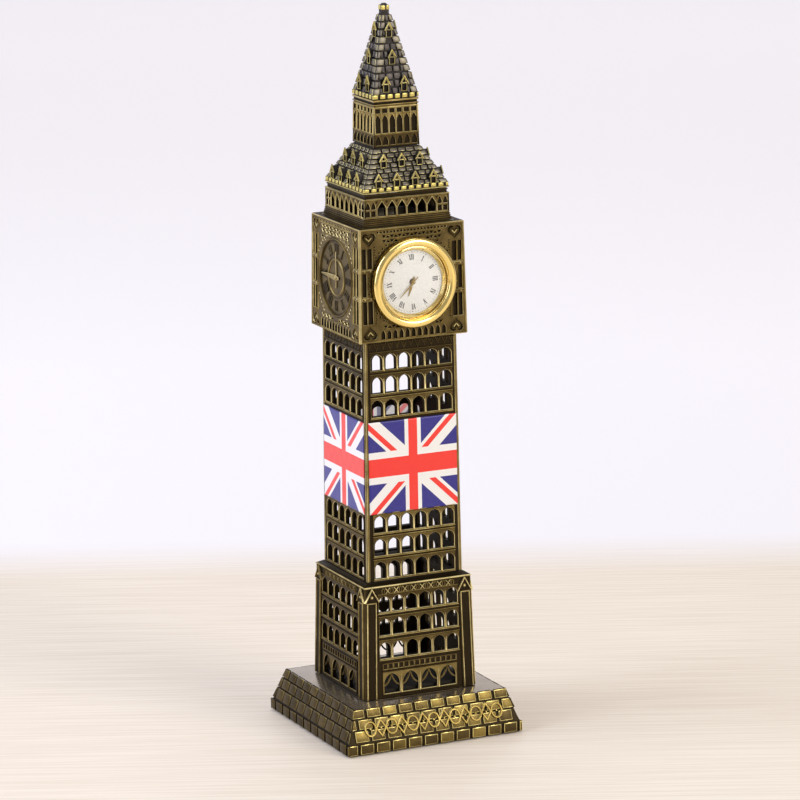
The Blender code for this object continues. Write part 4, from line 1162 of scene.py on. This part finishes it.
def build_spire():
    z0, z1, half = levels("spire")
    eaves = z0 + 1.5
    foot_half, top_half = half - 0.4, 1.9
    half_at = taper(eaves, z1, foot_half, top_half)
    cast = Casting()
    cast.square([(9.6, z0, 0.1), (9.8, eaves, 0.1), (foot_half - 0.55, eaves, 0.05),
                 (top_half - 0.4, z1, 0.4)])
    dentils(cast, z0 + 0.1, eaves + 0.35, 9.85, -9.0, 7, 3.25, 2.3)
    spots = [(-4.0, 265.3, 271.6), (4.0, 265.3, 271.6), (0.0, 276.0, 281.9), (0.0, 286.6, 292.6)]
    slates(cast, half_at, eaves + 0.4, z1 - 0.2, 11, 3.0, spots, 3.2, (0.20, 0.38, 0.46),
           ((2.5, 1.0), (1.7, 0.7), (1.3, 0.8), (2.4, 0.95), (3.1, 1.0), (1.2, 0.8), (2.4, 0.95),
            (3.0, 1.0), (1.1, 0.7), (2.2, 0.9), (2.4, 1.0)))
    cast.finish("spire_casting", ["spire"], CAST_ROOF, crease=45)


def build_finial():
    """A small square cap of rubbed blocks that ends the spire."""
    foot, top, _ = levels("finial")
    collar = levels("spire")[1] + 0.15
    cast = Casting()
    cast.square([(0.7, foot, 0.1), (0.7, collar, 0.1), (1.55, collar, 0.1), (1.5, collar + 0.9, 0.08),
                    (1.35, top - 0.75, 0.2), (0.85, top - 0.4, 0.15), (0.7, top, 0.4)])
    for side in SIDES:
        cast.place = upright(side, 1.5)
        for x0, x1, rub in ((-1.7, -0.15, 0.9), (0.3, 1.7, 0.75)):
            cast.pillow(rectangle(x0, x1, collar + 1.1, top - 0.8), -0.3, 0.25, (rub, 1.0, 0.15), 0.25)
    cast.finish("finial_cap", ["finial"], CAST_ROOF, crease=50)


# ---- clock

def depths(node, flange):
    """Front and rear of a node, behind the clock's flange."""
    return [corner.y - flange for corner in span(node)]


def build_clock():
    """Bezel, lens, inner ring, dial, hands and the turned shell of the insert."""
    low, high = span("insert_bezel")
    centre = (low.z + high.z) / 2
    flange, radius = high.y, high.x
    lens_front, lens_rear = depths("insert_lens", flange)

    def turned_about(x, z, depth):
        return Vector((x, flange + depth, centre + z))

    def on_clock(x, z, out):
        return Vector((x, flange - out, z))

    crown = [(radius - 1.85 + 1.75 * math.cos(a), -1.05 - 1.8 * math.sin(a) ** 0.8)
             for a in [math.pi * i / 14 for i in range(15)]]
    lip = [(15.0, -1.35), (14.95, -1.9), (14.7, -2.0), (14.55, -1.85), (14.5, lens_front - 0.3)]
    seat = [(15.2, lens_front - 0.3), (15.2, 0.0)]
    lens = [(0.0, lens_front), (14.3, lens_front), (14.9, lens_front + 0.2), (14.9, lens_rear),
            (0.0, lens_rear)]
    front, rear = depths("inner_ring", flange)
    rehaut = [(15.05, front - 0.25), (15.05, front + 0.05), (14.3, front + 0.1), (14.3, rear), (13.05, rear),
              (13.1, rear - 0.2), (13.35, rear - 0.35), (13.45, rear - 0.55), (13.95, front + 0.1),
              (14.1, front - 0.25)]
    front, rear = depths("dial", flange)
    dial = [(1.3, front), (14.2, front), (14.3, front + 0.1), (14.3, rear), (1.3, rear)]
    for name, node, profile, steps, material, slot, crease in (
            ("clock_bezel", "insert_bezel", [(radius, 0.0), (radius, -0.8)] + crown + lip + seat, 128, GOLD,
             "polished_gold", 40),
            ("clock_lens", "insert_lens", lens, 72, GLASS, "lens_glass", 35),
            ("clock_inner_ring", "inner_ring", rehaut, 96, GOLD, "polished_gold", 40),
            ("clock_dial", "dial", dial, 72, DIAL, "dial_white", 35)):
        turned = Casting(turned_about)
        turned.lathe(profile, steps, ring=profile is not lens)
        turned.finish(name, [node], material, "clock_insert", slot, crease)

    print_dial(on_clock, centre, -front)
    build_hands(on_clock, centre, flange)
    build_shell(turned_about, flange)


def print_dial(on_clock, centre, face):
    """Hour numerals and minute dots, with every fifth dot larger."""
    ink = Casting(on_clock)
    even = (EVEN, EVEN, EVEN)
    numerals(ink, centre, 10.2, 2.45, 0.42, face - 0.03, face + 0.03, even, False, 2.5)
    for minute in range(60):
        a = math.radians(6 * minute)
        spot = circle(12.2 * math.sin(a), centre + 12.2 * math.cos(a), 0.13 if minute % 5 else 0.22, 6)
        ink.block(spot, face - 0.03, face + 0.03, even, 0.02)
    ink.finish("dial_print", (), INK, "clock_insert", "dial_white")


def hand_outline(length, wide, tail, boss):
    """A slim leaf with a round boss and a short tail, pointing to twelve."""
    right = [(wide * 0.35, -tail), (wide * 0.3, -boss * 1.25)]
    right += [(boss * math.cos(a), boss * math.sin(a)) for a in [math.radians(d) for d in range(-60, 61, 20)]]
    right += [(wide * 0.28, boss * 1.4), (wide * 0.5, length * 0.45), (wide * 0.12, length)]
    return right + mirrored(right)


def build_hands(on_clock, centre, flange):
    specs = (("hour_hand", "hour_pipe", 199.0, 6.0, 0.95, 2.2, 1.05),
             ("minute_hand", "minute_arbor", 225.0, 8.5, 0.62, 2.8, 0.8))
    for node, body, angle, length, wide, tail, boss in specs:
        front, rear = depths(node, flange)
        turn = -math.radians(angle)
        cos, sin = math.cos(turn), math.sin(turn)
        outline = [(x * cos - z * sin, centre + x * sin + z * cos)
                   for x, z in hand_outline(length, wide, tail, boss)]
        cast = Casting(on_clock)
        cast.block(outline, -rear, -front, (0.6, 0.9, 0.5), 0.07)
        cast.boss(0.0, centre, boss * 0.62, -front - 0.02, -front + 0.2, 0.9, 16)
        cast.finish(node + "_leaf", [node], HAND_GOLD, body, "hand_gold")


def build_shell(turned_about, flange):
    """Rubber grip ring and the case back, which show when the clock is pulled out."""
    start, stop = depths("grip_ring", flange)
    ribs = [(17.2 if i % 2 else 16.95, start + (stop - start) * i / 8) for i in range(9)]
    grip = Casting(turned_about)
    grip.lathe([(16.75, start)] + ribs + [(16.75, stop)], 72, ring=True)
    grip.finish("grip_ribs", ["grip_ring"], RUBBER, "clock_insert", "grip_rubber")

    back = Casting(turned_about)
    rear = depths("case_back", flange)[1]
    face = rear - 0.9
    back.lathe([(0.0, face), (13.4, face), (13.4, face - 1.1), (14.4, face - 1.1), (14.4, face),
                (16.5, face), (16.5, rear - 0.35), (16.2, rear), (14.6, rear), (14.3, rear - 0.2),
                (13.6, rear - 0.2), (13.3, rear), (4.6, rear), (4.3, rear - 0.15), (0.0, rear - 0.15)], 72)
    back.finish("case_back_pressing", ["case_back"], STEEL, "back_cap", "steel")


# ---- carried-over parts

def paint_nodes():
    """Finishes for the CAD parts that are shown as they are."""
    finishes = {
        FELT: "base_pad", CASE: "insert_case movement_ring", BOARD: "circuit_board", COPPER: "coil",
        # The floor plates inside the tower take the near-black painted shade.
        CAST_DARK: "storey_floor_plate stage_floor_plate", CAST_TOP: "stage_top_plate",
        BRASS: "centre_wheel hour_wheel minute_wheel intermediate_wheel movement_plate battery_contact",
        STEEL: "rotor stator train_bridge bridge_screw_1 bridge_screw_2 setting_lever crown_stem button_cell "
               "tower_screw_1 tower_screw_2 tower_screw_3 tower_screw_4"}
    for material, names in finishes.items():
        for name in names.split():
            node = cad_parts[name]
            node.data.materials.clear()
            node.data.materials.append(material)


# ---- studio

def build_studio():
    """A pale wooden table in front of a lavender backdrop, in one curved sheet."""
    floor_mesh = bpy.data.meshes.new("studio_floor")
    bm = bmesh.new()
    reach, bend_at, radius, steps, sunk = 4.0, 2.0, 0.6, 12, 0.0002
    profile = [(-reach, 0.0), (bend_at, 0.0)]
    profile += [(bend_at + radius * math.sin(a), radius - radius * math.cos(a))
                for a in [math.pi / 2 * i / steps for i in range(1, steps + 1)]]
    profile.append((bend_at + radius, reach))
    rows = [[bm.verts.new((x, y, z - sunk)) for x in (-reach, reach)] for y, z in profile]
    for one, other in zip(rows, rows[1:]):
        bm.faces.new((one[0], one[1], other[1], other[0]))
    bm.to_mesh(floor_mesh)
    bm.free()
    floor_mesh.shade_smooth()
    floor = show("studio_floor", floor_mesh)
    floor.matrix_world = Matrix.Rotation(CAMERA_TURN, 4, "Z")
    s = Shader("studio_floor")
    away = s.node("SeparateXYZ", {"Vector": s.place()}).outputs["Y"]
    grain = s.node("Mapping", {"Vector": s.place(), "Scale": (4.0, 170.0, 3.0)}).outputs["Vector"]
    wood = s.ramp(s.noise(3.0, 6.0, 0.62, grain),
                  [(0.38, (0.70, 0.612, 0.50)), (0.60, (0.785, 0.703, 0.595))])
    far = s.ramp(away, [(0.235, 0.0), (0.30, 1.0)])
    glow = s.ramp(s.maths("MULTIPLY", away, 0.4), [(0.094, 0.0), (0.12, 0.19), (0.28, 0.29), (0.88, 0.42)])
    colour = s.mix(far, wood, rgb(0.66, 0.64, 0.66))
    floor_mesh.materials.append(s.finish(Base_Color=colour, Roughness=0.5, Emission_Strength=glow,
                                         Emission_Color=rgb(0.93, 0.905, 0.935)))


def soft_box(name, place, aim, size, power, colour):
    """An area light, aimed at a height on the tower's axis."""
    data = bpy.data.lights.new(name, "AREA")
    data.shape = "RECTANGLE"
    data.size, data.size_y = size
    data.energy = power
    data.color = colour
    light = show(name, data)
    light.location = place
    light.rotation_euler = (Vector((0.0, 0.0, aim)) - Vector(place)).to_track_quat("-Z", "Y").to_euler()


CAMERA_TURN = math.radians(-24.95)
CAMERA_RISE = math.radians(12.78)
CAMERA_ROLL = math.radians(-0.902)
CAMERA_DISTANCE = 1.7855
LENS = 196.2
AMBIENT = 0.42                  # strength of the surroundings for everything but the camera
AIM_HEIGHT, AIM_SHIFT = 0.1365, 0.004012    # the point looked at, and how far to its right


def build_camera_and_lights():
    turn = Matrix.Rotation(CAMERA_TURN, 4, "Z") @ Matrix.Rotation(math.pi / 2 - CAMERA_RISE, 4, "X")
    spot = Vector((0.0, 0.0, AIM_HEIGHT)) + turn @ Vector((AIM_SHIFT, 0.0, CAMERA_DISTANCE))
    data = bpy.data.cameras.new("photo_camera")
    data.lens = LENS
    data.sensor_width = 36.0
    data.clip_end = 20.0
    camera = show("photo_camera", data)
    camera.matrix_world = Matrix.Translation(spot) @ turn @ Matrix.Rotation(CAMERA_ROLL, 4, "Z")
    bpy.context.scene.camera = camera

    for light in (("key_front", (0.75, -1.5, 0.95), 0.15, (0.9, 1.2), 20.5, (1.0, 0.95, 0.87)),
                  ("fill_left", (-1.25, 0.3, 1.0), 0.22, (0.9, 0.9), 16.0, (0.78, 0.83, 1.0)),
                  ("low_left", (-1.1, -0.25, 0.42), 0.17, (0.6, 0.6), 2.5, (0.70, 0.74, 1.0)),
                  ("top_light", (0.0, 0.2, 1.6), 0.15, (1.4, 1.4), 8.0, (1.0, 1.0, 1.0))):
        soft_box(*light)

    world = bpy.data.worlds.new("studio_world")
    world.use_nodes = True
    nodes, links = world.node_tree.nodes, world.node_tree.links
    seen = nodes.new("ShaderNodeLightPath").outputs["Is Camera Ray"]
    brighter = nodes.new("ShaderNodeMath")
    brighter.operation = "MAXIMUM"
    links.new(seen, brighter.inputs[0])
    brighter.inputs[1].default_value = AMBIENT
    background = nodes["Background"]
    background.inputs["Color"].default_value = rgb(0.93, 0.91, 0.95)
    links.new(brighter.outputs[0], background.inputs["Strength"])
    bpy.context.scene.world = world
    bpy.context.scene.view_settings.view_transform = "Standard"


build_base()
build_storey()
build_shaft()
build_stickers()
build_stage()
build_belfry()
build_main_roof()
build_lantern()
build_spire()
build_finial()
build_clock()
paint_nodes()
build_studio()
build_camera_and_lights()
